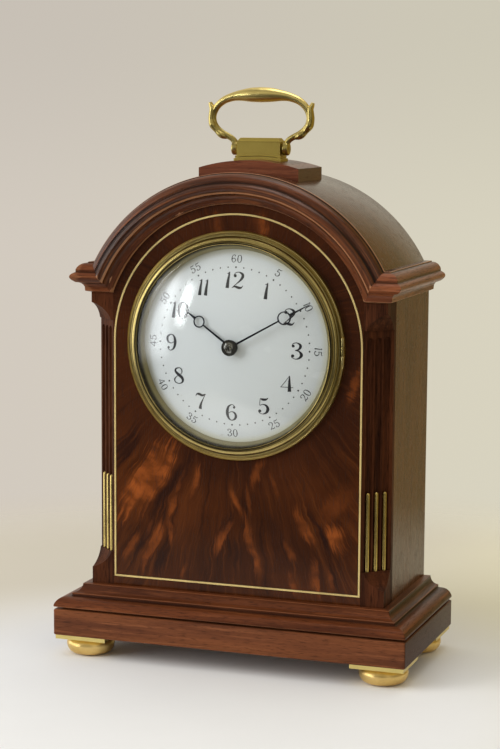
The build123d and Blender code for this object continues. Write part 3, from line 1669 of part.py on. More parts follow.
with BuildPart() as minute_wheel:
    add_wheel(
        minute_spot, minute_wheel_y, minute_wheel_teeth, minute_module, motion_thickness, to_minute + 180
    )
    add_pinion(
        minute_spot,
        hour_wheel_y - motion_gap / 2,
        minute_pinion_leaves,
        hour_module,
        minute_wheel_y - hour_wheel_y + motion_gap / 2,
        gap_angle(minute_pinion_leaves, to_minute + 180),
    )
    bore(
        minute_spot,
        hour_wheel_y - motion_gap,
        minute_stud_radius + bearing_gap,
        plate_y - hour_wheel_y,
    )
minute_wheel.part.label = "minute_wheel"
export_step(minute_wheel.part, "parts/minute_wheel.step")

hour_pipe_front = dial_y - hour_hand_lift - hand_thickness

with BuildPart() as hour_wheel:
    extrude(
        gear_outline(from_dial(hour_wheel_y), hour_wheel_teeth, hour_module, to_minute),
        amount=motion_thickness,
        dir=BACK,
    )
    rod(centre, hour_pipe_front, hour_pipe_radius, hour_wheel_y - hour_pipe_front)
    bore(
        centre,
        hour_pipe_front,
        cannon_radius + hour_pipe_gap,
        hour_wheel_y + motion_thickness - hour_pipe_front,
    )
hour_wheel.part.label = "hour_wheel"
export_step(hour_wheel.part, "parts/hour_wheel.step")

# Straps that tie the front plate to the rear ring, and their screws
strap_end = back_y - back_thickness - strap_rear_room

with BuildPart() as movement_straps:
    for side in (-1, 1):
        strap_low = strap_outer - strap_thickness if side > 0 else -strap_outer
        lug_low = strap_outer - strap_lug if side > 0 else -strap_outer
        block(
            -strap_width / 2,
            train_y,
            dial_z + strap_low,
            (strap_width, strap_end - train_y, strap_thickness),
        )
        for y in (train_y, strap_end - strap_thickness):
            block(-strap_width / 2, y, dial_z + lug_low, (strap_width, strap_thickness, strap_lug))
        for height, y in ((strap_lug_screw, train_y), (strap_screw_circle, strap_end - strap_thickness)):
            bore((0, side * height), y, strap_screw_radius + press_gap, strap_thickness)
movement_straps.part.label = "movement_straps"
export_step(movement_straps.part, "parts/movement_straps.step")

with BuildPart() as strap_screws:
    for side in (-1, 1):
        start = strap_end - strap_thickness
        seat = back_y + rear_ring_flange
        rod((0, side * strap_screw_circle), start, strap_screw_radius, seat - start)
        rod((0, side * strap_screw_circle), seat, strap_screw_head_radius, strap_screw_head)
        rod((0, side * strap_lug_screw), plate_y, strap_screw_radius, plate_thickness + strap_thickness)
        rod((0, side * strap_lug_screw), train_y + strap_thickness, strap_screw_head_radius, strap_screw_head)
strap_screws.part.label = "strap_screws"
export_step(strap_screws.part, "parts/strap_screws.step")

# Back board, rear ring and hinged rear door
rear_tube_radius = rear_ring_bore + rear_tube_wall

with BuildPart() as back_board:
    extrude(
        arched_outline(
            facing(back_y - back_thickness), case_half - side_thickness, case_z, arch_inner - glue_gap
        ),
        amount=back_thickness,
        dir=BACK,
    )
    bore(centre, back_y - back_thickness, rear_tube_radius + glue_gap, back_thickness)
    for height in (-strap_screw_circle, strap_screw_circle):
        bore((0, height), back_y - back_thickness, strap_screw_radius + screw_gap, back_thickness)
back_board.part.label = "back_board"
export_step(back_board.part, "parts/back_board.step")

rear_hinge_x = -rear_door_radius - rear_hinge_offset
rear_hinge_y = back_y + rear_ring_flange + hinge_radius + door_gap
rear_door_y = back_y + rear_ring_flange + door_gap

with BuildPart() as rear_ring:
    rod(centre, back_y - rear_tube_length, rear_tube_radius, rear_tube_length)
    rod(centre, back_y, rear_ring_radius, rear_ring_flange)
    bore(centre, back_y - rear_tube_length, rear_ring_bore, rear_tube_length + rear_ring_flange)
    for height in (-strap_screw_circle, strap_screw_circle):
        bore((0, height), back_y, strap_screw_radius + screw_gap, rear_ring_flange)
    for low in knuckle_starts:
        hinge_barrel(rear_hinge_x, rear_hinge_y, low, knuckle_length, hinge_radius)
        block(
            rear_hinge_x - hinge_radius / 2,
            back_y + rear_ring_flange,
            dial_z + low,
            (hinge_radius, rear_hinge_y - back_y - rear_ring_flange, knuckle_length),
        )
    hinge_bore(
        rear_hinge_x,
        rear_hinge_y,
        -hinge_length / 2,
        hinge_length,
        hinge_pin_radius + hinge_pin_gap,
    )
rear_ring.part.label = "rear_ring"
export_step(rear_ring.part, "parts/rear_ring.step")

with BuildPart() as rear_door:
    rod(centre, rear_door_y, rear_door_radius, rear_door_thickness)
    rim_radius = rear_ring_bore - rear_rim_gap
    rod(centre, rear_door_y - rear_rim_depth, rim_radius, rear_rim_depth)
    bore(centre, rear_door_y - rear_rim_depth, rim_radius - rear_rim_wall, rear_rim_depth)
    knob_spot = (rear_door_radius - rear_knob_inset, 0)
    rod(knob_spot, rear_door_y + rear_door_thickness, rear_knob_radius / 2, rear_knob_length)
    rod(
        knob_spot,
        rear_door_y + rear_door_thickness + rear_knob_length / 2,
        rear_knob_radius,
        rear_knob_length / 2,
    )
    hinge_barrel(rear_hinge_x, rear_hinge_y, -hinge_middle / 2, hinge_middle, hinge_radius)
    block(
        rear_hinge_x,
        rear_door_y + door_gap,
        dial_z - hinge_middle / 2,
        (rear_hinge_offset + hinge_leaf, rear_door_thickness - door_gap, hinge_middle),
    )
    hinge_bore(
        rear_hinge_x,
        rear_hinge_y,
        -hinge_length / 2,
        hinge_length,
        hinge_pin_radius + hinge_pin_gap,
    )
rear_door.part.label = "rear_door"
export_step(rear_door.part, "parts/rear_door.step")

with BuildPart() as hinge_pins:
    hinge_barrel(hinge_x, hinge_y, -hinge_length / 2, hinge_length, hinge_pin_radius)
    hinge_barrel(rear_hinge_x, rear_hinge_y, -hinge_length / 2, hinge_length, hinge_pin_radius)
hinge_pins.part.label = "hinge_pins"
export_step(hinge_pins.part, "parts/hinge_pins.step")
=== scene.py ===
"""Looks of an arched-top mahogany mantel clock with a brass handle, bezel, stringing and feet.

Every shape is written in millimetres in the clock's own frame (x to the viewer's right, y to the
back, z up) and put into metres once, where a piece is made.
"""

import math

import bmesh
import bpy
from mathutils import Matrix, Vector


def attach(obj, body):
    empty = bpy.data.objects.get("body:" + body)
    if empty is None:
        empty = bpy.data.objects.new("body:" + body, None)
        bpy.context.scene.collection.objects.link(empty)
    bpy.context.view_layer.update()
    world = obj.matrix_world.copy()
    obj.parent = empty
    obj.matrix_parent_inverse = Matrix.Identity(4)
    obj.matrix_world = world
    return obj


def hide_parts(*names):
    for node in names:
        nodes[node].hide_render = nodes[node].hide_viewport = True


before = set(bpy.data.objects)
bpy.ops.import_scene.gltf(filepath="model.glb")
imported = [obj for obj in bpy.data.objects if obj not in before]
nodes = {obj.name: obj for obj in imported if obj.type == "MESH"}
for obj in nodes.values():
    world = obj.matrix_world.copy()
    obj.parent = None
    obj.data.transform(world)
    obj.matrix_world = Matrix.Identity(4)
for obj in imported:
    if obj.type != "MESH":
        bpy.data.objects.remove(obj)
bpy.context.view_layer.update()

# Sizes of the clock in millimetres
MM = 0.001
front_y = -31.4
back_y = 39.6
case_half = 71.0
case_z = 33.5
base_z = 22.6
plinth_z = 10.3
plinth_reach = 14.0
cornice_z = 170.7
dial_z = 148.8
dial_y = -37.0
dial_sphere = 196.62
dial_radius = 47.0
moulding_inner = 64.0
arch_radius = 77.3
arch_inner = 71.3
arch_foot_z = 184.7
side_thickness = 8.0
string_half = 59.35
string_foot = 38.0
foot_x = 71.7
front_foot_y = -32.1
rear_foot_y = 26.3
hinge_x = 51.12
hinge_y = front_y - 2.55
glass_rim_y = front_y - 5.55
block_radius = 83.0
pivot_z = 236.8
handle_y = 1.15

# Places and sizes of the print on the dial, from its middle
hour_ring = 30.0
hour_height = 7.3
minute_ring = 39.6
minute_height = 3.3
dot_ring = 35.8
dot_radius = 0.34
five_dot_radius = 0.42
print_tilt = math.radians(1.2)
print_lift = 0.03
hairline = 0.28

# Steps round a full turn
round_steps = 160


class Value:
    """A number that a node gives. Python's operators on it add Math nodes."""

    def __init__(self, finish, socket):
        self.finish = finish
        self.socket = socket

    def math(self, operation, first, second=0.0):
        return self.finish.node("Math", {"operation": operation}, {0: first, 1: second})

    def __add__(self, other):
        return self.math("ADD", self, other)

    def __radd__(self, other):
        return self.math("ADD", other, self)

    def __sub__(self, other):
        return self.math("SUBTRACT", self, other)

    def __rsub__(self, other):
        return self.math("SUBTRACT", other, self)

    def __mul__(self, other):
        return self.math("MULTIPLY", self, other)

    def __rmul__(self, other):
        return self.math("MULTIPLY", other, self)

    def __pow__(self, other):
        return self.math("POWER", self, other)

    def __abs__(self):
        return self.math("ABSOLUTE", self)

    def __gt__(self, other):
        return self.math("GREATER_THAN", self, other)


class Finish:
    """A node tree of a material or of the world, built one node at a time."""

    def __init__(self, name, holder=None):
        self.holder = holder or bpy.data.materials.new(name)
        self.holder.use_nodes = True
        self.tree = self.holder.node_tree
        self.tree.nodes.clear()

    def node(self, kind, settings=None, sockets=None, give=0):
        """Adds a node, sets its settings, then its sockets, and gives one of its outputs."""
        made = self.tree.nodes.new("ShaderNode" + kind)
        for name, value in (settings or {}).items():
            setattr(made, name, value)
        for name, value in (sockets or {}).items():
            if isinstance(value, Value):
                self.tree.links.new(value.socket, made.inputs[name])
            else:
                made.inputs[name].default_value = value
        return Value(self, made.outputs[give]) if made.outputs else None

    def mix(self, share, first, second):
        """A colour between two colours."""
        colours = {0: share, 6: first, 7: second}
        for key in (6, 7):
            if isinstance(colours[key], tuple):
                colours[key] = (*colours[key], 1.0)
        return self.node("Mix", {"data_type": "RGBA"}, colours, give=2)

    def stretch(self, vector, factors):
        """A vector scaled along each of its axes."""
        return self.node("VectorMath", {"operation": "MULTIPLY"}, {0: vector, 1: factors})

    def cloud(self, vector, scale=1.0, detail=3.0, roughness=0.55, distortion=0.0):
        """Soft noise from 0 to 1 over a vector."""
        sockets = {
            "Vector": vector,
            "Scale": scale,
            "Detail": detail,
            "Roughness": roughness,
            "Distortion": distortion,
        }
        return self.node("TexNoise", None, sockets)

    def fade(self, value, low, high, start=0.0, end=1.0):
        """A smooth step from start to end as a value goes from low to high."""
        sockets = {0: value, 1: low, 2: high, 3: start, 4: end}
        return self.node("MapRange", {"interpolation_type": "SMOOTHSTEP"}, sockets)

    def split(self, vector):
        """The three numbers of a vector."""
        parts = self.node("SeparateXYZ", None, {0: vector}).socket.node
        return [Value(self, output) for output in parts.outputs]

    def join(self, x, y, z):
        """A vector of three numbers."""
        return self.node("CombineXYZ", None, {0: x, 1: y, 2: z})

    def place(self):
        """The place on the piece in metres, in the clock's frame at rest."""
        return self.node("TexCoord", give="Object")

    def from_dial(self):
        """How far a point lies across, up and straight out from the middle of the dial, in metres."""
        x, y, z = self.split(self.place())
        up = z - dial_z * MM
        return x, up, (x * x + up * up) ** 0.5

    def edge_mark(self):
        """How sharply the mesh bends at a point, and its mark: 1 on an arris, -1 in a groove."""
        bend = self.node("NewGeometry", give="Pointiness")
        return bend, self.node("Attribute", {"attribute_name": "mark"}, give="Fac")

    def arrises(self, low, high):
        """Where edges stand out, over 1 on an edge that is both sharp and marked."""
        bend, mark = self.edge_mark()
        return self.fade(bend, low, high) + mark.math("MAXIMUM", mark, 0.0)

    def hollows(self, low, high):
        """How far a point lies in a hollow, from 0 to 1: in hollows of the mesh and in marked grooves; wood
        darkens there as painted shade, brass as dirt.
        """
        bend, mark = self.edge_mark()
        hollow = self.fade(bend, low, high) - mark.math("MINIMUM", mark, 0.0)
        return hollow.math("MINIMUM", hollow, 1.0)

    def bump(self, height, distance, strength):
        """A normal for small relief, with the distance in metres."""
        return self.node("Bump", None, {"Height": height, "Distance": distance, "Strength": strength})

    def surface(self, sockets):
        """Ends the finish with one Principled shader."""
        shader = self.node("BsdfPrincipled", None, sockets)
        self.node("OutputMaterial", None, {"Surface": shader})
        return self.holder


# Wood finishes
def grain_place(finish, run):
    """Where a point lies in the wood: along the grain first, then across it, in metres."""
    x, y, z = finish.split(finish.place())
    aside = 0.37  # moves the pattern off its own origin
    if run == "upright":
        return finish.join(z + aside, x + aside, y + aside)
    if run == "arch":
        across, up, radius = finish.from_dial()
        angle = across.math("ARCTAN2", across, up)
        return finish.join(angle * arch_radius * MM + aside, radius + aside, y + aside)
    turn_x, turn_y = finish.split(finish.node("TexCoord", give="Normal"))[:2]
    side = abs(turn_x) > abs(turn_y)
    flip = 1 - side
    return finish.join(x * flip + y * side + aside, y * flip + x * side + aside, z + aside)


def darker(colour, share):
    """A share of a colour."""
    return tuple(channel * share for channel in colour)


def polished_wood(
    name, run, dark, mid, light, gloss, worn=None, wear=0.0, pore_depth=0.55, shine=0.18, side_darkening=0.0
):
    """Polished mahogany: ribbons along the grain, dark pores and, with a worn colour, rubbed arrises and
    painted shade in its hollows and grooves.
    """
    finish = Finish(name)
    grain = grain_place(finish, run)
    ribbons = finish.cloud(finish.stretch(grain, (9, 120, 120)), detail=4, roughness=0.6, distortion=0.4)
    streaks = finish.cloud(finish.stretch(grain, (26, 620, 620)), detail=5, roughness=0.65)
    pores = finish.cloud(finish.stretch(grain, (190, 2600, 2600)), detail=2, roughness=0.5)
    patches = finish.cloud(finish.stretch(grain, (16, 30, 30)), detail=3)
    colour = finish.mix(finish.fade(ribbons, 0.3, 0.7), dark, mid)
    colour = finish.mix(finish.fade(streaks, 0.48, 0.72) * 0.75, colour, light)
    pore_mask = finish.fade(pores, 0.54, 0.66)
    colour = finish.mix(pore_mask * pore_depth, colour, darker(dark, 0.22))
    if worn:
        uneven = 0.35 + patches + 0.5 * (streaks - 0.5)
        rubbed = finish.fade(finish.arrises(0.52, 0.6) * uneven, 0.35, 0.85)
        colour = finish.mix(rubbed * wear, colour, worn)
        # Painted shade: hollows and marked grooves are darkened into the colour.
        colour = finish.mix(finish.hollows(0.49, 0.44) * 0.85, colour, darker(dark, 0.2))
    # Faces turned to the sides are darkened.
    if side_darkening:
        turn_x = finish.split(finish.node("TexCoord", give="Normal"))[0]
        side_faces = abs(turn_x) > 0.8
        colour = finish.mix(side_faces * side_darkening, colour, darker(dark, 0.3))
    roughness = gloss + 0.16 * patches + 0.1 * pore_mask
    return finish.surface(
        {
            "Base Color": colour,
            "Roughness": roughness,
            "Specular IOR Level": shine,
            "Coat Weight": 0.45 * shine,
            "Coat Roughness": 0.1,
            "Normal": finish.bump(1 - pore_mask, 0.00004, 0.5),
        }
    )


# Feathers of the front veneer: across, up, lean in degrees, half length, half width, glow, crisp side
FEATHERS = [
    (-43, 85, 35, 22, 7.5, 1.0, 0), (-20, 86, 10, 9, 1.6, 0.6, 0), (-30, 72, 27, 5, 2, 0.55, 1),
    (-41, 51, 28, 13, 5.0, 0.7, 1), (-44, 60, 26, 6, 1.2, 0.5, 0), (-52, 51, 24, 10, 1.8, 0.55, 0),
    (0, 78, -16, 8, 1.7, 0.7, 0), (-5, 59, 25, 9, 2.6, 0.75, 1), (-27, 85, 21, 9, 1.2, 0.3, 0),
    (-32, 60, -7, 8, 1.2, 0.45, 0), (-25, 43, 28, 5, 1.4, 0.35, 0), (11, 91, 22, 8, 2.7, 0.5, 0),
    (6, 78, -10, 7, 1.1, 0.35, 0), (19, 84, -17, 7, 1.3, 0.35, 0), (9, 54, -14, 14, 2.1, 0.65, 0),
    (27, 56, -22, 5, 1.9, 0.45, 0), (35, 68, -25, 10, 2.8, 0.65, 1), (46, 63, -30, 8, 6, 1.0, -1),
    (48, 78, 45, 16, 5, 0.25, 0), (40, 44, -15, 8, 2.6, 0.6, 1), (46, 44, -19, 6, 1.2, 0.5, 0),
    (28, 42, -17, 5, 1.8, 0.45, 0), (-9, 204, -10, 5, 2.5, 0.4, 0), (12, 204, -8, 5, 3.5, 0.6, 0),
    (56, 133, 16, 9, 2, 0.6, 0),
]
# Dark veins between the feathers: across, up, lean in degrees, half length, half width, depth
VEINS = [
    (-31, 83, 31, 19, 3.2, 0.8), (-46, 56, 32, 14, 2.2, 0.7), (-35, 47, 26, 10, 2.4, 0.7),
    (-55, 99, 40, 12, 5, 0.75), (-4, 66, 20, 9, 2.5, 0.5), (41, 65, -28, 13, 1.2, 0.8),
    (1, 52, -4, 9, 2.2, 0.5), (20, 62, -14, 14, 4, 0.4),
]


def feather_place(finish, spot, middle, height, lean, length, width):
    """Where a spot lies in a feather or vein: across and along it, in shares of its half sizes."""
    sockets = {
        "Vector": spot,
        "Location": (middle * MM, 0, height * MM),
        "Rotation": (0, math.radians(lean), 0),
        "Scale": (width * MM, 1, length * MM),
    }
    beside, level, along = finish.split(finish.node("Mapping", {"vector_type": "TEXTURE"}, sockets))
    return beside, along


def flame_veneer():
    """Crotch veneer: a few soft orange feathers that fan out below the dial over dark red-brown."""
    dark_ground = (0.033, 0.0085, 0.0022)
    warm_ground = (0.064, 0.016, 0.0035)
    light_fibre = (0.115, 0.031, 0.006)
    light_hair = (0.12, 0.034, 0.008)
    dark_fibre = (0.014, 0.0045, 0.0025)
    dial_border = (0.024, 0.008, 0.0045)
    feather_orange = (0.27, 0.066, 0.012)
    vein_brown = (0.014, 0.005, 0.0035)
    pore_brown = (0.012, 0.004, 0.002)
    finish = Finish("flame_veneer")
    place = finish.place()
    x, y, z = finish.split(place)
    sway = finish.cloud(place, scale=70, detail=3)
    drift = finish.cloud(finish.stretch(place, (-1, 1, 1)), scale=52, detail=3)
    across = x + 0.007 * (sway - 0.5)
    up = z + 0.009 * (drift - 0.5)
    below = (dial_z + 12) * MM - z
    angle = x.math("ARCTAN2", across, below)
    reach = (across * across + below * below) ** 0.5
    fibres = finish.cloud(finish.join(angle * 34, reach * 17, 1.9), detail=5, roughness=0.66)
    hairs = finish.cloud(finish.join(angle * 120, reach * 26, 6.3), detail=4, roughness=0.6)
    ripples = finish.cloud(finish.join(angle * 7, reach * 120, 4.1), detail=3)
    ragged = 1.9 * (fibres - 0.5) + 1.7 * (hairs - 0.5)
    shade = finish.cloud(place, scale=26, detail=3)
    spot = finish.join(across, 0.0, up)
    lit = 0.0
    for middle, height, lean, length, width, glow, crisp in FEATHERS:
        beside, along = feather_place(finish, spot, middle, height, lean, length, width)
        if crisp:
            beside = beside.math("MAXIMUM", beside * (2.6 * crisp), beside * (-0.9 * crisp))
        far = (beside * beside + along * along) ** 0.5
        feather = finish.fade(far + ragged, 1.25, 0.3, 0.0, glow)
        lit = far.math("MAXIMUM", feather, lit)
    veined = 0.0
    for middle, height, lean, length, width, depth in VEINS:
        beside, along = feather_place(finish, spot, middle, height, lean, length, width)
        far = (beside * beside + along * along) ** 0.5
        veined = far.math("MAXIMUM", finish.fade(far + ragged, 1.3, 0.2, 0.0, depth), veined)
    lit = lit * finish.fade(ripples, 0.32, 0.62, 0.3, 1.0) * finish.fade(shade, 0.28, 0.55, 0.55, 1.0)
    pores = finish.cloud(finish.stretch(place, (1900, 1900, 170)), detail=2)
    pore_mask = finish.fade(pores, 0.55, 0.68)
    colour = finish.mix(finish.fade(shade, 0.35, 0.68), dark_ground, warm_ground)
    colour = finish.mix(finish.fade(fibres, 0.48, 0.75) * 0.5, colour, light_fibre)
    colour = finish.mix(finish.fade(hairs, 0.52, 0.78) * 0.5, colour, light_hair)
    colour = finish.mix(finish.fade(fibres, 0.46, 0.3) * 0.7, colour, dark_fibre)
    colour = finish.mix(finish.fade(reach, 0.09, 0.066) * 0.4, colour, dial_border)
    colour = finish.mix(lit, colour, feather_orange)
    colour = finish.mix(veined, colour, vein_brown)
    colour = finish.mix(pore_mask * 0.35, colour, pore_brown)
    return finish.surface(
        {
            "Base Color": colour,
            "Roughness": 0.18 + 0.12 * shade + 0.08 * pore_mask,
            "Specular IOR Level": 0.12,
            "Coat Weight": 0.06,
            "Coat Roughness": 0.08,
            "Normal": finish.bump(1 - pore_mask, 0.00003, 0.4),
        }
    )


# Metal finishes
def old_brass(name, bright, dull, roughness, tarnish, relief=0.0, metal=1.0, dull_below=0.0):
    """Brass with clouds of tarnish, fine specks, dirt in its hollows and, given a height, a duller colour
    below it.
    """
    finish = Finish(name)
    place = finish.place()
    clouds = finish.cloud(place, scale=70, detail=4, roughness=0.6)
    specks = finish.cloud(place, scale=1100, detail=3)
    colour = finish.mix(finish.fade(clouds, 0.38, 0.7) * tarnish, bright, dull)
    colour = finish.mix(finish.fade(specks, 0.68, 0.8) * tarnish * 0.4, colour, dull)
    # Below the given height the colour is mixed towards the dull brass, so the top of the piece stays
    # brighter.
    if dull_below:
        height = finish.split(place)[2]
        lower_share = finish.fade(height, dull_below * MM, (dull_below - 5) * MM)
        colour = finish.mix(lower_share * (0.35 + 0.7 * clouds), colour, dull)
    hollow = finish.hollows(0.48, 0.42)
    colour = finish.mix(hollow * 0.85, colour, darker(dull, 0.15))
    sockets = {
        "Base Color": colour,
        "Metallic": metal,
        "Roughness": roughness + 0.12 * tarnish * clouds + 0.15 * hollow,
    }
    if relief:
        sockets["Normal"] = finish.bump(specks, relief, 0.4)
    return finish.surface(sockets)


def stained_sight():
    """The dull inside of the bezel, with a painted shadow that turns it black towards the glass, and lighter
    towards the dial.
    """
    finish = Finish("stained_sight")
    across, up, radius = finish.from_dial()
    clouds = finish.cloud(finish.place(), scale=160, detail=4)
    colour = finish.mix(clouds, (0.27, 0.23, 0.105), (0.36, 0.31, 0.15))
    # Painted shadow: the outer edge by the glass, which the bezel lip shades, is darkened to black.
    colour = finish.mix(finish.fade(radius, 0.0449, 0.0459), colour, (0.03, 0.023, 0.011))
    return finish.surface({"Base Color": colour, "Metallic": 0.8, "Roughness": 0.38 + 0.2 * clouds})


def cut_steel(name, pale, deep, roughness, relief=0.000008):
    """Polished steel with fine marks and a little darkening."""
    finish = Finish(name)
    place = finish.place()
    clouds = finish.cloud(place, scale=260, detail=4)
    marks = finish.cloud(finish.stretch(place, (2600, 900, 2600)), detail=2)
    colour = finish.mix(finish.fade(clouds, 0.38, 0.66), pale, deep)
    return finish.surface(
        {
            "Base Color": colour,
            "Metallic": 1.0,
            "Roughness": roughness * (0.8 + 0.4 * marks),
            "Normal": finish.bump(marks, relief, 0.4),
        }
    )


# Dial finishes
def fired_enamel():
    """Cool white enamel under a glossy skin, a little yellow towards its rim, with a painted shadow of the
    bezel along its left and upper left rim.
    """
    cool_white = (0.63, 0.665, 0.69)
    pale_white = (0.66, 0.69, 0.705)
    rim_yellow = (0.66, 0.64, 0.47)
    rim_shade = (0.16, 0.16, 0.145)
    speck_grey = (0.4, 0.38, 0.33)
    finish = Finish("fired_enamel")
    place = finish.place()
    across, up, radius = finish.from_dial()
    clouds = finish.cloud(place, scale=45, detail=3)
    colour = finish.mix(clouds, cool_white, pale_white)
    rim = finish.fade(radius, 0.0405, 0.0445)
    colour = finish.mix(rim * 0.8, colour, rim_yellow)
    # Painted shadow: the bezel's shade on the left and upper left rim of the dial is darkened into the
    # colour.
    painted_bezel_shadow = finish.fade(0.85 * across - 0.53 * up, 0.015, -0.03) * finish.fade(radius, 0.04, 0.0442)
    colour = finish.mix(painted_bezel_shadow * 0.4, colour, rim_shade)
    specks = finish.cloud(place, scale=420, detail=2)
    colour = finish.mix(finish.fade(specks, 0.72, 0.78) * 0.35, colour, speck_grey)
    return finish.surface(
        {
            "Base Color": colour,
            "Roughness": 0.22 + 0.08 * clouds,
            "Coat Weight": 0.4,
            "Coat Roughness": 0.05,
            "Normal": finish.bump(clouds, 0.00005, 0.3),
        }
    )


def glazing_putty():
    """Hard black putty round the glass; the black ring is painted shadow for the gap between the bezel lip
    and the sight ring.
    """
    finish = Finish("glazing_putty")
    lumps = finish.cloud(finish.place(), scale=500, detail=3)
    colour = finish.mix(lumps, (0.004, 0.0035, 0.003), (0.014, 0.012, 0.009))
    sockets = {
        "Base Color": colour,
        "Roughness": 0.7 + 0.2 * lumps,
        "Specular IOR Level": 0.1,
        "Normal": finish.bump(lumps, 0.0001, 0.5),
    }
    return finish.surface(sockets)


def printed_ink():
    """Black fired ink, worn thin in places."""
    finish = Finish("printed_ink")
    thin = finish.cloud(finish.place(), scale=700, detail=3)
    colour = finish.mix(finish.fade(thin, 0.55, 0.8) * 0.35, (0.008, 0.008, 0.014), (0.1, 0.1, 0.13))
    return finish.surface({"Base Color": colour, "Roughness": 0.35 + 0.2 * thin})


def clear_glass():
    """Thin clear glass: it shows what is behind it and mirrors more at a slant."""
    finish = Finish("clear_glass")
    slant = finish.node("LayerWeight", None, {"Blend": 0.5}, give="Facing")
    mirror_share = 0.04 + 0.96 * slant**5
    clear = finish.node("BsdfTransparent", None, {"Color": (0.985, 0.99, 0.985, 1)})
    mirror = finish.node("BsdfGlossy", None, {"Color": (1, 1, 1, 1), "Roughness": 0.06})
    glass = finish.node("MixShader", None, {0: mirror_share, 1: clear, 2: mirror})
    finish.node("OutputMaterial", None, {"Surface": glass})
    return finish.holder


def pale_table():
    """The pale table top, which fades into the wall behind; in mirrors it ends in front of the clock."""
    table_grey = (0.79, 0.78, 0.765)
    table_white = (0.84, 0.83, 0.815)
    behind_left = (0.6, 0.55, 0.455)
    behind_right = (0.79, 0.735, 0.52)
    finish = Finish("pale_table")
    place = finish.place()
    x, y, z = finish.split(place)
    ahead = y + 0.1
    far = (x * x + ahead * ahead) ** 0.5
    distance = (x * x + y * y) ** 0.5
    clouds = finish.cloud(place, scale=14, detail=4)
    fibres = finish.cloud(place, scale=420, detail=3)
    colour = finish.mix(clouds, table_grey, table_white)
    behind = finish.mix(finish.fade(x, -0.05, 0.15), behind_left, behind_right)
    colour = finish.mix(finish.fade(far, 0.11, 0.25), colour, behind)
    toward = 0.53 * x - 0.848 * y
    mirrored = finish.node("LightPath", give="Is Glossy Ray")
    past_edge = finish.fade(toward, 0.188, 0.194) * mirrored
    return finish.surface(
        {
            "Base Color": colour,
            "Roughness": 0.75 + 0.1 * fibres,
            "Specular IOR Level": 0.15,
            "Alpha": finish.fade(distance, 0.24, 0.42, 1.0, 0.0) * (1 - past_edge),
            "Normal": finish.bump(fibres, 0.0001, 0.15),
        }
    )


base_mahogany = polished_wood(
    "base_mahogany", "level", (0.055, 0.0145, 0.0055), (0.135, 0.037, 0.0115), (0.2, 0.062, 0.021), 0.24,
    worn=(0.36, 0.155, 0.07), wear=0.3, shine=0.11, side_darkening=0.6,
)
mahogany_level = polished_wood(
    "mahogany_level", "level", (0.095, 0.027, 0.011), (0.235, 0.07, 0.025), (0.34, 0.118, 0.045), 0.24,
    worn=(0.48, 0.23, 0.105), wear=0.65,
)
plinth_mahogany = polished_wood(
    "plinth_mahogany", "level", (0.087, 0.0265, 0.0108), (0.172, 0.055, 0.0195), (0.245, 0.084, 0.032), 0.3,
    worn=(0.42, 0.19, 0.085), wear=0.4, pore_depth=0.5, shine=0.1, side_darkening=0.8,
)
# A darker tone than the level mahogany: painted shade that offsets the light the block catches from above.
block_mahogany = polished_wood(
    "block_mahogany", "level", (0.085, 0.024, 0.0115), (0.17, 0.05, 0.022), (0.24, 0.08, 0.036), 0.24,
    pore_depth=0.35, shine=0.2, side_darkening=0.5,
)
mahogany_arch = polished_wood(
    "mahogany_arch", "arch", (0.024, 0.0075, 0.0035), (0.1, 0.027, 0.0085), (0.21, 0.064, 0.019), 0.2,
    worn=(0.46, 0.22, 0.11), wear=0.7, shine=0.26,
)
mahogany_upright = polished_wood(
    "mahogany_upright", "upright", (0.028, 0.0095, 0.005), (0.072, 0.0215, 0.0083), (0.11, 0.035, 0.014),
    0.36, shine=0.03,
)
side_mahogany = polished_wood(
    "side_mahogany", "upright", (0.06, 0.018, 0.0065), (0.095, 0.03, 0.011), (0.13, 0.043, 0.016), 0.16,
    pore_depth=0.3,
)
arch_veneer = polished_wood(
    "arch_veneer", "arch", (0.058, 0.02, 0.009), (0.09, 0.032, 0.0135), (0.12, 0.045, 0.019), 0.14,
    pore_depth=0.1, shine=0.32,
)
inner_mahogany = polished_wood(
    "inner_mahogany", "upright", (0.07, 0.026, 0.012), (0.13, 0.05, 0.022), (0.18, 0.075, 0.034), 0.42,
    pore_depth=0.6,
)
flame_front = flame_veneer()
foot_brass = old_brass("foot_brass", (0.86, 0.62, 0.235), (0.5, 0.32, 0.09), 0.3, 0.55)
pad_brass = old_brass("pad_brass", (0.78, 0.63, 0.235), (0.55, 0.43, 0.14), 0.3, 0.4)
string_brass = old_brass("string_brass", (0.8, 0.61, 0.25), (0.5, 0.37, 0.15), 0.42, 0.6, metal=0.5)
rod_brass = old_brass("rod_brass", (0.74, 0.56, 0.19), (0.34, 0.25, 0.08), 0.2, 0.6)
handle_brass = old_brass(
    "handle_brass", (0.9, 0.73, 0.28), (0.36, 0.285, 0.085), 0.3, 0.25, dull_below=pivot_z + 21,
)
stand_brass = old_brass("stand_brass", (0.56, 0.44, 0.115), (0.4, 0.3, 0.075), 0.5, 0.35)
bezel_brass = old_brass("bezel_brass", (0.54, 0.43, 0.165), (0.3, 0.23, 0.08), 0.22, 0.6)
bead_brass = old_brass("bead_brass", (0.74, 0.6, 0.27), (0.5, 0.39, 0.15), 0.26, 0.4)
door_brass = old_brass("door_brass", (0.56, 0.44, 0.17), (0.42, 0.325, 0.12), 0.3, 0.45)
sight_brass = stained_sight()
movement_brass = old_brass("movement_brass", (0.8, 0.6, 0.26), (0.55, 0.38, 0.14), 0.26, 0.3, 0.000006)
bright_steel = cut_steel("bright_steel", (0.55, 0.55, 0.55), (0.38, 0.38, 0.39), 0.2)
blued_steel = cut_steel("blued_steel", (0.045, 0.05, 0.075), (0.02, 0.022, 0.036), 0.26)
dome_steel = cut_steel("dome_steel", (0.25, 0.245, 0.23), (0.17, 0.165, 0.155), 0.14, 0.0000005)
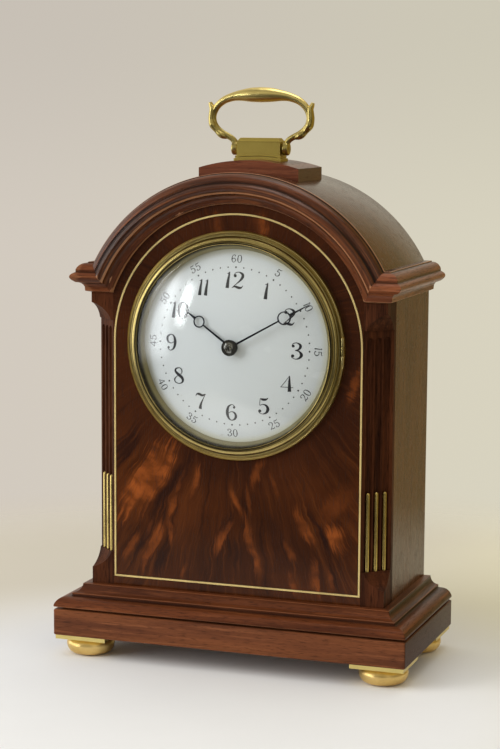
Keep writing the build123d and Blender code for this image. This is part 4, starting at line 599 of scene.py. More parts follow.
aged_copper = old_brass("aged_copper", (0.7, 0.36, 0.2), (0.42, 0.2, 0.11), 0.3, 0.5)
enamel = fired_enamel()
ink = printed_ink()
shadow_putty = glazing_putty()
glass = clear_glass()


# Shapes
def turns(count):
    """The angles of equal steps round a full turn."""
    return [2 * math.pi * step / count for step in range(count)]


def heading(line, index):
    """The direction of a line at one of its points, from the first two values of the points beside it."""
    before = line[max(index - 1, 0)]
    after = line[min(index + 1, len(line) - 1)]
    return Vector((after[0] - before[0], after[1] - before[1])).normalized()


def put_in_scene(name, content):
    """A new object in the scene."""
    made = bpy.data.objects.new(name, content)
    bpy.context.scene.collection.objects.link(made)
    return made


class Shape:
    """Points and faces of one piece, in millimetres."""

    def __init__(self):
        self.points = []
        self.faces = []
        self.marks = {}

    def sheet(self, rows, wrap_rows=False, wrap_columns=False, caps=False, marks=()):
        """Faces over rows of points; a wrapped sheet joins its last row or column to its first."""
        start = len(self.points)
        width = len(rows[0])
        for row in rows:
            for column, mark in enumerate(marks):
                self.marks[len(self.points) + column] = mark
            self.points.extend(row)
        row_count = len(rows) if wrap_rows else len(rows) - 1
        column_count = width if wrap_columns else width - 1
        for row in range(row_count):
            here = start + row * width
            there = start + (row + 1) % len(rows) * width
            for column in range(column_count):
                after = (column + 1) % width
                self.faces.append((here + column, here + after, there + after, there + column))
        if caps:
            last = start + (len(rows) - 1) * width
            self.faces.append(tuple(range(start, start + width)))
            self.faces.append(tuple(range(last, last + width)))
        return self

    def lathe(self, profile, axis, steps=round_steps, open_profile=False, marks=()):
        """A profile of (radius, distance along the axis) pairs turned about an axis."""
        rows = []
        for angle in turns(steps):
            rows.append([axis(radius, along, angle) for radius, along in profile])
        return self.sheet(rows, wrap_rows=True, wrap_columns=not open_profile, marks=marks)

    def tube(self, line, radii, sides, flat=1.0):
        """A round bar along a line in the handle's plane, with a radius at each of its points."""
        rows = []
        for index, (x, z) in enumerate(line):
            run = heading(line, index)
            row = []
            for turn in turns(sides):
                out = radii[index] * math.cos(turn)
                depth = flat * radii[index] * math.sin(turn)
                row.append((x - run[1] * out, handle_y + depth, z + run[0] * out))
            rows.append(row)
        return self.sheet(rows, wrap_columns=True, caps=True)

    def patch(self, points):
        """One flat face."""
        start = len(self.points)
        self.points.extend(points)
        self.faces.append(tuple(range(start, start + len(points))))

    def build(self, name, finish, sharp=38.0):
        """Makes the object, smooth apart from edges over an angle in degrees, and gives it its finish."""
        mesh = bpy.data.meshes.new(name)
        mesh.from_pydata([Vector(point) * MM for point in self.points], [], self.faces)
        if self.marks:
            marked = mesh.attributes.new("mark", "FLOAT", "POINT")
            for index, mark in self.marks.items():
                marked.data[index].value = mark
        work = bmesh.new()
        work.from_mesh(mesh)
        bmesh.ops.remove_doubles(work, verts=work.verts, dist=1e-7)
        bmesh.ops.recalc_face_normals(work, faces=work.faces)
        work.to_mesh(mesh)
        work.free()
        mesh.polygons.foreach_set("use_smooth", [True] * len(mesh.polygons))
        mesh.set_sharp_from_angle(angle=math.radians(sharp))
        mesh.materials.append(finish)
        return put_in_scene(name, mesh)

    def piece(self, name, finish, body, slot, stands_for=(), bevel=0.0, sharp=38.0):
        """Makes the object and puts it on its body, in place of the CAD pieces that it stands for."""
        made = self.build(name, finish, sharp)
        if bevel:
            ease_edges(made, bevel)
        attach(made, body)
        if stands_for:
            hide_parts(*stands_for)


def ease_edges(obj, width):
    """Rounds an object's sharp edges over a width in millimetres."""
    easing = obj.modifiers.new("eased_edges", "BEVEL")
    easing.width = width * MM
    easing.segments = 3
    easing.limit_method = "ANGLE"
    easing.angle_limit = math.radians(40)
    easing.harden_normals = True


def about_dial(radius, y, angle):
    """A point turned about the middle of the dial, clockwise from twelve."""
    return (radius * math.sin(angle), y, dial_z + radius * math.cos(angle))


def about_upright(x, y):
    """Turns a (radius, height) pair about an upright line."""
    return lambda radius, z, angle: (x + radius * math.sin(angle), y + radius * math.cos(angle), z)


def bow(start, end, rise, count):
    """Points of a shallow arc after its start; a positive rise bows it to the left of its run."""
    run = Vector(end) - Vector(start)
    left = Vector((-run.y, run.x)).normalized()
    points = []
    for step in range(1, count + 1):
        share = step / count
        spot = Vector(start) + run * share + left * (4 * rise * share * (1 - share))
        points.append((spot.x, spot.y))
    return points


def section(*corners):
    """A profile through corners; a corner with a rise and a count of points is reached by an arc."""
    points = []
    here = None
    for x, y, *arc in corners:
        points += bow(here, (x, y), *arc) if arc else [(x, y)]
        here = (x, y)
    return points


def soften(outline, radius, closed=False, steps=3):
    """Replaces the corners of a line of points by small curves."""
    least_bend = 0.35
    least_cut = 1e-4
    count = len(outline)
    eased = []
    for index, corner in enumerate(outline):
        if not closed and index in (0, count - 1):
            eased.append(corner)
            continue
        here = Vector(corner)
        before = Vector(outline[index - 1]) - here
        after = Vector(outline[(index + 1) % count]) - here
        bend = before.angle(-after, 0)
        cut = min(radius, before.length / 2.2, after.length / 2.2)
        if bend < least_bend or cut < least_cut:
            eased.append(corner)
            continue
        start = here + before.normalized() * cut
        end = here + after.normalized() * cut
        for step in range(steps + 1):
            share = step / steps
            spot = start * (1 - share) ** 2 + here * 2 * share * (1 - share) + end * share**2
            eased.append((spot.x, spot.y))
    return eased


def edge_marks(profile):
    """How far each point of a closed profile stands out as an arris (to 1) or lies in a groove (to -1)."""
    soft_bend = 8
    sharp_bend = 22
    count = len(profile)
    bends = []
    for index, corner in enumerate(profile):
        run = Vector(corner) - Vector(profile[index - 1])
        onward = Vector(profile[(index + 1) % count]) - Vector(corner)
        bends.append(math.degrees(onward.angle_signed(run, 0)) if run.length and onward.length else 0)
    winding = 1 if sum(bends) > 0 else -1
    marks = []
    for bend in bends:
        share = min(max(abs(bend) - soft_bend, 0) / (sharp_bend - soft_bend), 1)
        marks.append(share if winding * bend > 0 else -share)
    spread = []
    for index, mark in enumerate(marks):
        beside = min(marks[index - 1], marks[(index + 1) % count], 0)
        further = min(marks[index - 2], marks[(index + 2) % count], 0)
        spread.append(min(mark, 0.8 * beside, 0.45 * further) if mark < 0.3 else mark)
    return spread


def curve_through(points, steps=8):
    """A smooth line through points of any number of values each."""
    side_faces = [points[0], *points, points[-1]]
    line = []
    for index in range(len(points) - 1):
        first, second, third, fourth = (Vector(side_faces[index + shift]) for shift in range(4))
        for step in range(steps):
            t = step / steps
            spot = 0.5 * (
                2 * second
                + (third - first) * t
                + (2 * first - 5 * second + 4 * third - fourth) * t * t
                + (3 * second - first - 3 * third + fourth) * t**3
            )
            line.append(tuple(spot))
    line.append(tuple(points[-1]))
    return line


# Mouldings: one section for the arch and the cornice, another for the base
cornice_edge = section(
    (0, 0), (2.3, 0.6), (2.4, 2.4), (5.7, 4.7, 0.7, 8), (6.0, 5.0), (5.6, 9.4, -2.05, 14), (5.6, 10.6),
    (1.2, 13.5, -0.9, 8), (1.2, 14.0), (0, 14.0),
)
cornice_edge = soften(cornice_edge, 0.22)


def mitre_spot(rise):
    """Where the arch meets the cornice, as a distance from the middle."""
    return math.sqrt((moulding_inner + rise) ** 2 - (cornice_z - dial_z + rise) ** 2)


def arch_moulding():
    """The moulding round the arch, with a mitre at each foot."""
    steps = 120
    rows = []
    for step in range(steps + 1):
        share = 2 * step / steps - 1
        row = []
        for reach, rise in cornice_edge:
            end = math.atan2(mitre_spot(rise), cornice_z - dial_z + rise)
            row.append(about_dial(moulding_inner + rise, front_y - reach, share * end))
        rows.append(row)
    marks = edge_marks(cornice_edge)
    cove_foot = 3.0
    round_foot = 5.1
    for index, (reach, rise) in enumerate(cornice_edge):
        if rise < cove_foot:
            marks[index] *= 0.5
        # The arris at the foot of the round is marked fully, for a pale rubbed line round the arch that is
        # partly wear and partly a painted highlight.
        elif reach > 5.5 and abs(rise - round_foot) < 0.45:
            marks[index] = 1.0
    shape = Shape().sheet(rows, wrap_columns=True, caps=True, marks=marks)
    shape.piece("arch_moulding_run", mahogany_arch, "case", "mahogany", ["arch_moulding"])


def cornice_return(side, node, finish):
    """A cornice return: a short stretch on the front, a mitred corner and a run to the back."""
    rows = []
    for share in (0.0, 0.5, 1.0):
        row = []
        for reach, rise in cornice_edge:
            x = mitre_spot(rise) * (1 - share) + (case_half + reach) * share
            row.append((side * x, front_y - reach, cornice_z + rise))
        rows.append(row)
    for share in (0.25, 0.5, 0.75, 1.0):
        row = []
        for reach, rise in cornice_edge:
            y = (front_y - reach) * (1 - share) + back_y * share
            row.append((side * (case_half + reach), y, cornice_z + rise))
        rows.append(row)
    shape = Shape().sheet(rows, wrap_columns=True, caps=True, marks=edge_marks(cornice_edge))
    shape.piece(node + "_run", finish, "case", "mahogany", [node], bevel=0.3)


def board_ring(half, low_y, high_y, z, corner):
    """A level rectangle with eased corners, as a ring of points."""
    outline = [(-half, low_y), (half, low_y), (half, high_y), (-half, high_y)]
    return [(x, y, z) for x, y in soften(outline, corner, closed=True, steps=4)]


def base_boards():
    """The moulded base board and the plinth under it, both flush at the back."""
    edge = section(
        (-20, 0), (3.5, 0), (3.5, 0.5), (7.4, 4.0, 1.0, 8), (7.4, 5.4), (9.0, 5.4), (14.0, 9.0, -1.1, 12),
        (14.0, 9.8), (10.8, 9.8), (10.8, 10.9), (-20, 10.9),
    )
    edge = soften(edge, 0.4)
    rows = []
    for reach, drop in edge:
        rows.append(board_ring(case_half + reach, front_y - reach, back_y, case_z - drop, 0.5))
    shape = Shape().sheet(rows, wrap_columns=True, caps=True)
    width = len(rows[0])
    for index, mark in enumerate(edge_marks(edge)):
        for point in range(width):
            shape.marks[index * width + point] = mark
    shape.piece("base_board", base_mahogany, "case", "mahogany", ["base_moulding"])
    half = case_half + plinth_reach
    inner = half - 9
    side = [(inner, plinth_z), (half, plinth_z), (half, base_z), (inner, base_z)]
    rows = []
    for reach, z in soften(side, 0.7, steps=4):
        inset = half - reach
        rows.append(board_ring(reach, front_y - plinth_reach + inset, back_y - inset, z, 1.0))
    shape = Shape().sheet(rows, wrap_columns=True, caps=True)
    shape.piece("plinth_board", plinth_mahogany, "case", "mahogany", ["plinth"])


def arch_cover():
    """The bent sheet over the arch, from cornice to cornice."""
    outer_angle = math.acos((arch_foot_z - dial_z) / arch_radius)
    inner_angle = math.asin((case_half - side_thickness) / arch_inner)
    back = back_y - 0.08  # just in front of the back of the case
    section = soften(
        [(arch_inner, front_y), (arch_radius, front_y), (arch_radius, back), (arch_inner, back)],
        0.4,
        closed=True,
    )
    steps = 96
    rows = []
    for step in range(steps + 1):
        row = []
        for radius, y in section:
            share = (radius - arch_inner) / (arch_radius - arch_inner)
            reach = inner_angle + share * (outer_angle - inner_angle)
            row.append(about_dial(radius, y, (2 * step / steps - 1) * reach))
        rows.append(row)
    shape = Shape().sheet(rows, wrap_columns=True, caps=True)
    shape.piece("arch_cover", arch_veneer, "case", "side_veneer", ["arch_sheet"])


def bun_feet():
    """Four turned brass feet."""
    swell = [(7.2, 0.2), (9.3, 1.0), (10.7, 2.6), (11.3, 4.6), (11.0, 6.2), (10.1, 7.5), (9.0, 8.3)]
    profile = [(0.01, 0), (6.4, 0), *curve_through(swell, 6), (8.8, 8.4), (0.01, 8.4)]
    shape = Shape()
    for x in (-foot_x, foot_x):
        for y in (front_foot_y, rear_foot_y):
            shape.lathe(profile, about_upright(x, y), 72)
    shape.piece("turned_feet", foot_brass, "case", "bright_brass", ["bun_feet"])


def string_inlay():
    """The thin brass string let into the front: a half circle over straight sides."""
    half_width = 0.4
    proud = front_y - 0.06
    sunk = front_y + 0.9
    steps = 96
    edges = []
    for edge in (-half_width, half_width):
        reach = string_half + edge
        line = [(-reach, string_foot - edge)]
        for step in range(steps + 1):
            x, y, z = about_dial(reach, front_y, math.pi * (step / steps - 0.5))
            line.append((x, z))
        line.append((reach, string_foot - edge))
        edges.append(line)
    rows = []
    for inner, outer in zip(*edges):
        corners = ((inner, proud), (outer, proud), (outer, sunk), (inner, sunk))
        rows.append([(x, y, z) for (x, z), y in corners])
    shape = Shape().sheet(rows, wrap_rows=True, wrap_columns=True)
    shape.piece("string_inlay", string_brass, "case", "bright_brass", ["front_stringing"])


def flute_rods():
    """Three slim brass rods let into the foot of the flutes of each post."""
    inward = 5.45
    spread = 3.04
    seat = 0.4
    foot = 49.0
    top = 85.2
    radius = 1.0
    profile = [(0.01, foot), (radius, foot)]
    for step in range(9):
        turn = math.pi / 2 * step / 8
        profile.append((max(radius * math.cos(turn), 0.01), top - radius + radius * math.sin(turn)))
    shape = Shape()
    for side in (-1, 1):
        for along in (-spread, 0.0, spread):
            x = side * (case_half - inward + along - seat)
            y = front_y + inward + along + seat
            shape.lathe(profile, about_upright(x, y), 32, open_profile=True)
    shape.piece("reed_rods", rod_brass, "case", "bright_brass", ["flute_rods"], sharp=60)


def handle_stand():
    """The moulded stand of the handle, its foot bent to the curve of the block."""
    crown = dial_z + block_radius
    bent_to = 2.6
    straight_from = 8.0
    # Half width, half depth and height of each level
    levels = [
        (11.5, 5.0, 0.0), (11.5, 5.0, 1.2), (11.3, 4.8, 1.4), (10.9, 4.4, 1.45), (10.9, 4.4, 1.75),
        (11.05, 4.55, 1.8), (11.05, 4.55, 2.3), (10.9, 4.4, 2.5), (10.5, 3.7, 2.6), (10.5, 3.7, 8.0),
        (10.35, 3.55, 8.05), (10.35, 3.55, 8.2), (10.5, 3.7, 8.25), (10.3, 3.5, 8.45), (9.3, 2.5, 9.8),
        (9.0, 2.2, 9.9),
    ]
    steps = 16
    rows = []
    for half_x, half_y, rise in levels:
        bend = min(max((straight_from - rise) / (straight_from - bent_to), 0), 1)
        row = []
        for side in (-1, 1):
            for step in range(steps + 1):
                x = -side * half_x * (2 * step / steps - 1)
                sag = block_radius - math.sqrt(block_radius**2 - x * x)
                row.append((x, handle_y + side * half_y, crown + rise - sag * bend))
        rows.append(row)
    shape = Shape().sheet(rows, wrap_columns=True, caps=True)
    shape.piece("moulded_stand", stand_brass, "case", "handle_brass", ["handle_stand"], sharp=25)


# Bezel, glass and dial
def hinge_barrel(shape, low, length):
    """Adds a short turned hinge barrel to a shape, its low end counted from the middle of the dial."""
    foot = dial_z + low
    radius = 0.85
    profile = [(0.01, foot), (radius, foot), (radius, foot + length), (0.01, foot + length)]
    shape.lathe(soften(profile, 0.12), about_upright(hinge_x, hinge_y), 24)


def bezel_ring():
    """The fixed ring with its bead, which gives way to the hinge."""
    flange = front_y - 1.6
    bead_y = front_y - 2.45
    hinge_half = 6.2
    ring = section(
        (47.6, flange), (50.9, flange), (50.9, bead_y), (52.0, bead_y, 0.55, 10), (52.0, front_y),
        (47.6, front_y),
    )
    rows = []
    for angle in turns(2 * round_steps):
        row = []
        for radius, y in ring:
            x, depth, z = about_dial(radius, y, angle)
            by_hinge = x > 0 and abs(z - dial_z) < hinge_half
            row.append((x, max(depth, flange) if by_hinge else depth, z))
        rows.append(row)
    shape = Shape().sheet(rows, wrap_rows=True, wrap_columns=True)
    for low in (-6.0, 2.2):
        hinge_barrel(shape, low, 3.8)
    shape.piece("bezel_bead_ring", bead_brass, "case", "bezel_brass", ["bezel_ring"])


def bezel_door():
    """The hinged bezel with its reeds, and the sight ring inside it."""
    back = front_y - 1.8
    lip = front_y - 6.4
    lip_back = lip + 0.8
    door = section(
        (47.05, back), (50.3, back), (50.3, front_y - 3.4), (49.6, front_y - 3.95, -0.2, 8),
        (49.5, front_y - 3.75), (48.2, front_y - 4.85, 0.2, 12), (47.5, front_y - 5.5, -0.22, 10),
        (47.42, front_y - 5.3), (46.55, front_y - 6.25, -0.1, 8), (46.4, lip), (46.2, lip + 0.15),
        (46.2, lip_back), (47.05, lip_back),
    )
    shape = Shape().lathe(door, about_dial, 240, marks=edge_marks(door))
    hinge_barrel(shape, -2.0, 4.0)
    shape.piece("reeded_bezel", bezel_brass, "bezel", "bezel_brass", ["bezel_door"], sharp=50)

    sight_front = front_y - 3.9
    sight_back = front_y - 0.9
    sight = [(46.95, sight_front), (46.2, sight_front), (43.8, sight_back), (44.6, sight_back)]
    sight += [(46.95, front_y - 1.8)]
    shape = Shape().lathe(soften(sight, 0.15, closed=True), about_dial)
    shape.piece("inner_sight_ring", sight_brass, "bezel", "bezel_brass", ["sight_ring"])


def bezel_glass():
    """The domed glass in the bezel and the black putty that holds it, a ring of painted shadow at its rim."""
    thickness = 1.6
    rise = 7.8
    back = glass_rim_y + thickness
    outer = glass_dome(46.15, glass_rim_y, rise)
    inner = glass_dome(44.55, back, rise)
    wall = [*outer, (46.2, back), *reversed(inner)]
    shape = Shape().lathe(wall, about_dial, 128, open_profile=True)
    shape.piece("domed_glass", glass, "bezel", "clear_glass", ["dial_glass"], sharp=60)
    # The black putty ring is painted shadow for the gap at the rim of the glass.
    front = glass_rim_y - 0.6
    shadow_ring = [(46.25, front), (47.0, front), (47.0, back), (46.25, back)]
    shape = Shape().lathe(soften(shadow_ring, 0.1, closed=True), about_dial)
    shape.piece("glass_shadow_putty", shadow_putty, "bezel", "bezel_brass")


def glass_dome(rim_radius, rim_y, rise):
    """The profile of a dome from its middle to its rim."""
    steps = 36
    sphere = (rim_radius**2 + rise**2) / (2 * rise)
    profile = []
    for step in range(steps + 1):
        radius = max(rim_radius * step / steps, 0.001)
        profile.append((radius, rim_y - rise + sphere - math.sqrt(sphere**2 - radius**2)))
    return profile


def on_dial(x, up, lift):
    """A point at a lift over the curved dial, from its place across and up from the middle."""
    depth = dial_sphere - math.sqrt(dial_sphere**2 - x * x - up * up)
    return (x, dial_y + depth - lift, dial_z + up)


def dial_plate():
    """The convex enamel dial."""
    hole = 2.9
    thickness = 1.2
    steps = 40
    profile = []
    for step in range(steps + 1):
        radius = hole + (dial_radius - hole) * step / steps
        profile.append((radius, on_dial(radius, 0, 0)[1]))
    back = [(radius, y + thickness) for radius, y in reversed(profile)]
    shape = Shape().lathe([*profile, *back], about_dial)
    shape.piece("enamel_dial", enamel, "case", "enamel", ["dial"])


# Figures: strokes, balls and width, in hundredths of the figure's height. A stroke is a line of
# (across, up, breadth) points, and a ball is (across, up, radius).
FIGURES = {
    "0": (
        [
            [
                (26, 100, 5), (12, 88, 13), (7, 50, 17), (12, 12, 13), (26, 0, 5), (40, 12, 13), (45, 50, 17),
                (40, 88, 13), (26, 100, 5),
            ],
        ],
        [],
        52,
    ),
    "1": (
        [
            [(12, 0, 20), (15, 45, 15), (19, 80, 10), (22, 100, 4)],
            [(22, 98, 4), (13, 90, 5), (6, 88, 2)],
        ],
        [],
        30,
    ),
    "2": (
        [
            [
                (7, 78, 3), (13, 94, 4), (28, 100, 5), (43, 90, 13), (46, 74, 16), (38, 53, 11), (22, 30, 5),
                (8, 12, 3.5), (2, 2, 3),
            ],
            [(3, 4, 3), (14, 12, 9), (30, 6, 14), (42, 6, 9), (50, 20, 2)],
        ],
        [(13, 77, 8.5)],
        53,
    ),
    "3": (
        [
            [(7, 82, 3), (12, 95, 4), (26, 100, 5), (40, 90, 12), (42, 76, 15), (35, 60, 9), (20, 53, 3.5)],
            [(20, 53, 3.5), (37, 48, 8), (47, 28, 17), (41, 10, 12), (26, 0, 5), (10, 6, 3.5), (5, 18, 3)],
        ],
        [(12, 80, 8), (11, 19, 8.5)],
        53,
    ),
    "4": (
        [
            [(38, 99, 3), (20, 62, 3.5), (2, 28, 3)],
            [(0, 28, 3.5), (54, 28, 3.5)],
            [(38, 0, 20), (38, 40, 15), (38, 75, 10), (39, 100, 3)],
        ],
        [],
        56,
    ),
    "5": (
        [
            [(14, 98, 3), (24, 92, 13), (38, 93, 11), (48, 104, 2)],
            [(14, 98, 3.5), (12, 75, 3), (11, 53, 3)],
            [
                (11, 53, 3), (25, 61, 5), (40, 53, 12), (46, 32, 17), (39, 10, 12), (24, 0, 5), (10, 5, 3.5),
                (5, 17, 3),
            ],
        ],
        [(11, 18, 8.5)],
        52,
    ),
    "6": (
        [
            [
                (43, 84, 3), (36, 97, 4), (25, 99, 5), (12, 82, 12), (7, 45, 17), (13, 12, 11), (26, 0, 5),
                (40, 10, 11), (45, 28, 14), (40, 47, 10), (28, 55, 4.5), (16, 48, 3.5), (10, 36, 3),
            ],
        ],
        [(38, 83, 7)],
        53,
    ),
    "7": (
        [
            [(2, 80, 3), (7, 93, 7), (18, 95, 14), (33, 88, 12), (47, 99, 3)],
            [(47, 98, 3), (36, 66, 5), (25, 30, 12), (21, 0, 20)],
        ],
        [],
        50,
    ),
    "8": (
        [
            [
                (26, 100, 5), (12, 91, 9), (11, 74, 13), (25, 56, 17), (41, 38, 17), (45, 20, 13), (38, 5, 7),
                (25, 0, 5), (10, 7, 6), (6, 24, 8), (15, 42, 5), (30, 56, 3.5), (40, 70, 5), (40, 87, 7),
                (34, 97, 6), (26, 100, 5),
            ],
        ],
        [],
        52,
    ),
}


def figure_lines(figure):
    """The strokes, balls and width of a figure in shares of its height; a nine is a six turned over."""
    middle = 26
    turned_over = figure == "9"
    strokes, balls, width = FIGURES["6" if turned_over else figure]
    lines = []
    for points in (*strokes, balls):
        line = []
        for across, up, size in points:
            if turned_over:
                across = 2 * middle - across
                up = 100 - up
            line.append((across / 100, up / 100, size / 100))
        lines.append(line)
    return lines[:-1], lines[-1], width / 100


def draw_number(shape, text, height, weight, broad, spot):
    """Inks a number's strokes on the dial; spot turns its own place into a place on the dial."""
    gap = 0.1
    figures = [(*figure_lines(figure), 1.0 if figure == "1" else broad) for figure in text]
    width = sum(advance * share for strokes, balls, advance, share in figures) + gap * (len(text) - 1)
    pen = -width / 2
    for strokes, balls, advance, share in figures:
        for stroke in strokes:
            line = curve_through([(x * share, up, breadth) for x, up, breadth in stroke], 6)
            rows = []
            for index, (x, up, breadth) in enumerate(line):
                run = heading(line, index)
                half = max(breadth * weight, hairline / height) / 2
                row = []
                for side in (-half, half):
                    row.append(spot((pen + x - run[1] * side) * height, (up + run[0] * side - 0.5) * height))
                rows.append(row)
            shape.sheet(rows)
        for x, up, radius in balls:
            ball = []
            for turn in turns(16):
                across = (pen + x * share + weight * radius * math.cos(turn)) * height
                ball.append(spot(across, (up + weight * radius * math.sin(turn) - 0.5) * height))
            shape.patch(ball)
        pen += advance * share + gap


def figure_place(ring, angle, lean, flip=1):
    """Turns places in a figure into places on the dial, for a figure on a ring at an angle, with a lean."""

    def spot(x, up):
        across = ring * math.sin(angle) + flip * (x * math.cos(lean) + up * math.sin(lean))
        upward = ring * math.cos(angle) + flip * (up * math.cos(lean) - x * math.sin(lean))
        return on_dial(across, upward, print_lift)

    return spot


def dial_figures():
    """Hour figures, minute figures and minute dots, printed on the enamel."""
    shape = Shape()
    for hour in range(1, 13):
        angle = math.radians(30 * hour) + print_tilt
        flip = -1 if 4 <= hour <= 8 else 1
        upright = figure_place(hour_ring, angle, print_tilt)
        turned = figure_place(minute_ring, angle, angle, flip)
        draw_number(shape, str(hour), hour_height, 1.15, 1.48, upright)
        draw_number(shape, str(5 * hour), minute_height, 0.85, 1.4, turned)
    for minute in range(60):
        angle = math.radians(6 * minute) + print_tilt
        radius = dot_radius if minute % 5 else five_dot_radius
        dot = []
        for turn in turns(12):
            across = dot_ring * math.sin(angle) + radius * math.cos(turn)
            up = dot_ring * math.cos(angle) + radius * math.sin(turn)
            dot.append(on_dial(across, up, print_lift))
        shape.patch(dot)
    shape.piece("dial_figures", ink, "case", "enamel")


def hand(name, node, body, clock_angle, length, ring_centre, ring, lift, hole):
    """A slim blued hand with a ring, bent to follow the dial."""
    angle = math.radians(clock_angle)
    top = lift + 0.6
    edge = 0.18
    boss = 3.3
    blade_start = 2.9
    ring_width = 0.55

    def spot(along, across, height):
        x = along * math.sin(angle) + across * math.cos(angle)
        up = along * math.cos(angle) - across * math.sin(angle)
        return on_dial(x, up, height)

    def bar_row(along, half):
        ease = min(edge, half * 0.5)
        return [
            spot(along, -half, lift),
            spot(along, half, lift),
            spot(along, half, top - ease),
            spot(along, half - ease, top),
            spot(along, ease - half, top),
            spot(along, -half, top - ease),
        ]

    def ring_rows(middle, outer, inner):
        section = [(inner, lift), (outer, lift), (outer, top - edge)]
        section += [(outer - edge, top), (inner + edge, top), (inner, top - edge)]
        rows = []
        for turn in turns(48):
            row = []
            for radius, height in section:
                row.append(spot(middle + radius * math.cos(turn), radius * math.sin(turn), height))
            rows.append(row)
        return rows

    shape = Shape()
    shape.sheet(ring_rows(0, boss, hole), wrap_rows=True, wrap_columns=True)
    shape.sheet(ring_rows(ring_centre, ring, ring - ring_width), wrap_rows=True, wrap_columns=True)
    reach = ring - 0.3
    blade = []
    for share in (0.0, 0.25, 0.5, 0.75, 1.0):
        along = blade_start + (ring_centre - reach - blade_start) * share
        blade.append(bar_row(along, 0.46 - 0.12 * share))
    shape.sheet(blade, wrap_columns=True, caps=True)
    tip = []
    start = ring_centre + reach
    for share, half in ((0.0, 0.6), (0.12, 0.56), (0.35, 0.42), (0.65, 0.28), (1.0, 0.12)):
        tip.append(bar_row(start + (length - start) * share, half))
    shape.sheet(tip, wrap_columns=True, caps=True)
    shape.piece(name, blued_steel, body, "blued_steel", [node])


def dial_hands():
    """The two hands and the domed collet over them."""
    hand(
        "hour_blade", "hour_hand", "hour", clock_angle=305.04, length=26.5,
        ring_centre=19.0, ring=2.75, lift=1.0, hole=1.9,
    )
    hand(
        "minute_blade", "minute_hand", "centre", clock_angle=60.5, length=41.5,
        ring_centre=28.7, ring=3.05, lift=2.5, hole=1.3,
    )
    seat = dial_y - 3.12
    profile = section(
        (0.01, seat), (3.45, seat), (3.7, seat - 0.25), (0.5, seat - 2.6, -0.95, 16), (0.01, seat - 2.62),
    )
    shape = Shape().lathe(profile, about_dial, 64)
    shape.piece("collet_dome", dome_steel, "centre", "blued_steel", ["hand_collet"])


# Carrying handle
def carrying_handle():
    """An arched spindle grip between two leafy arms with round bosses."""
    # Distance from the middle, height over the pins and radius of the bar
    grip = [
        (0.0, 24.55, 3.5), (5.0, 24.5, 3.25), (10.0, 24.2, 2.5), (14.0, 23.5, 2.0), (18.0, 22.0, 1.75),
        (21.0, 19.7, 1.6), (22.8, 17.0, 1.55), (23.6, 14.2, 1.6), (23.2, 11.5, 1.65), (21.6, 9.0, 1.6),
        (19.0, 7.0, 1.5), (16.2, 5.6, 1.4), (14.0, 4.3, 1.4), (12.7, 2.7, 1.5), (12.3, 1.0, 1.6),
    ]
    leaf = [
        (25.0, 21.0, 0.75), (24.5, 19.6, 1.1), (23.8, 18.0, 1.4), (24.0, 15.6, 1.5), (24.1, 13.2, 1.62),
        (23.5, 10.9, 1.7), (22.1, 8.7, 1.62), (19.9, 6.6, 1.45), (17.3, 5.2, 1.2), (15.4, 4.7, 0.5),
    ]
    lobes = 4
    lobes_from = 0.35
    boss_radius = 3.1
    boss_inner = 10.8
    boss_outer = 13.8
    half = curve_through(grip)
    whole = [(-x, z, radius) for x, z, radius in reversed(half)] + half[1:]
    shape = Shape()
    shape.tube([(x, pivot_z + z) for x, z, radius in whole], [radius for x, z, radius in whole], 32)
    blade = curve_through(leaf)
    radii = []
    for index, (x, z, radius) in enumerate(blade):
        along = index / (len(blade) - 1)
        swell = max(along - lobes_from, 0) * math.sin(2 * math.pi * lobes * along)
        radii.append(radius * (1 + 0.4 * swell))
    boss = [(0.01, boss_inner), (boss_radius, boss_inner), (boss_radius, boss_outer), (0.01, boss_outer)]
    boss = soften(boss, 0.9, steps=5)
    for side in (-1, 1):
        shape.tube([(side * x, pivot_z + z) for x, z, radius in blade], radii, 24, flat=1.55)
        shape.lathe(boss, about_pivot(side), 40)
    shape.piece("leafy_handle", handle_brass, "handle", "handle_brass", ["carrying_handle"], sharp=50)


def about_pivot(side):
    """Turns a (radius, distance out) pair about the pins of the handle."""
    return lambda radius, out, angle: (
        side * out,
        handle_y + radius * math.sin(angle),
        pivot_z + radius * math.cos(angle),
    )


# Pieces that keep their CAD shape
def dress(finish, edge, *names):
    """Gives CAD pieces a finish and eases their edges over a width in millimetres."""
    for name in names:
        piece = nodes[name]
        piece.data.materials.clear()
        piece.data.materials.append(finish)
        if edge:
            ease_edges(piece, edge)


def kept_pieces():
    """Finishes for every piece that keeps its CAD shape."""
    dress(flame_front, 0.0, "front_board")
    dress(side_mahogany, 0.0, "side_panel_left", "side_panel_right")
    dress(mahogany_upright, 0.15, "corner_post_left", "corner_post_right")
    dress(block_mahogany, 0.4, "handle_block")
    dress(inner_mahogany, 0.3, "case_floor", "back_board")
    dress(pad_brass, 0.25, "foot_pads")
    dress(stand_brass, 0.25, "handle_pins")
    dress(door_brass, 0.15, "rear_ring", "rear_door")
    dress(bezel_brass, 0.15, "hinge_pins")
    dress(
        movement_brass, 0.0, "front_plate", "back_plate", "pillars", "barrel", "barrel_cap", "centre_wheel",
        "third_wheel", "fourth_wheel", "escape_wheel", "platform", "platform_cocks", "balance_wheel",
        "cannon_pinion", "minute_wheel", "hour_wheel", "movement_straps",
    )
    dress(
        bright_steel, 0.0, "movement_screws", "strap_screws", "base_screws", "stand_bolts", "winding_arbor",
        "ratchet_wheel", "click", "click_spring", "mainspring", "hairspring", "pallet_lever",
    )
    dress(aged_copper, 0.0, "dial_feet")


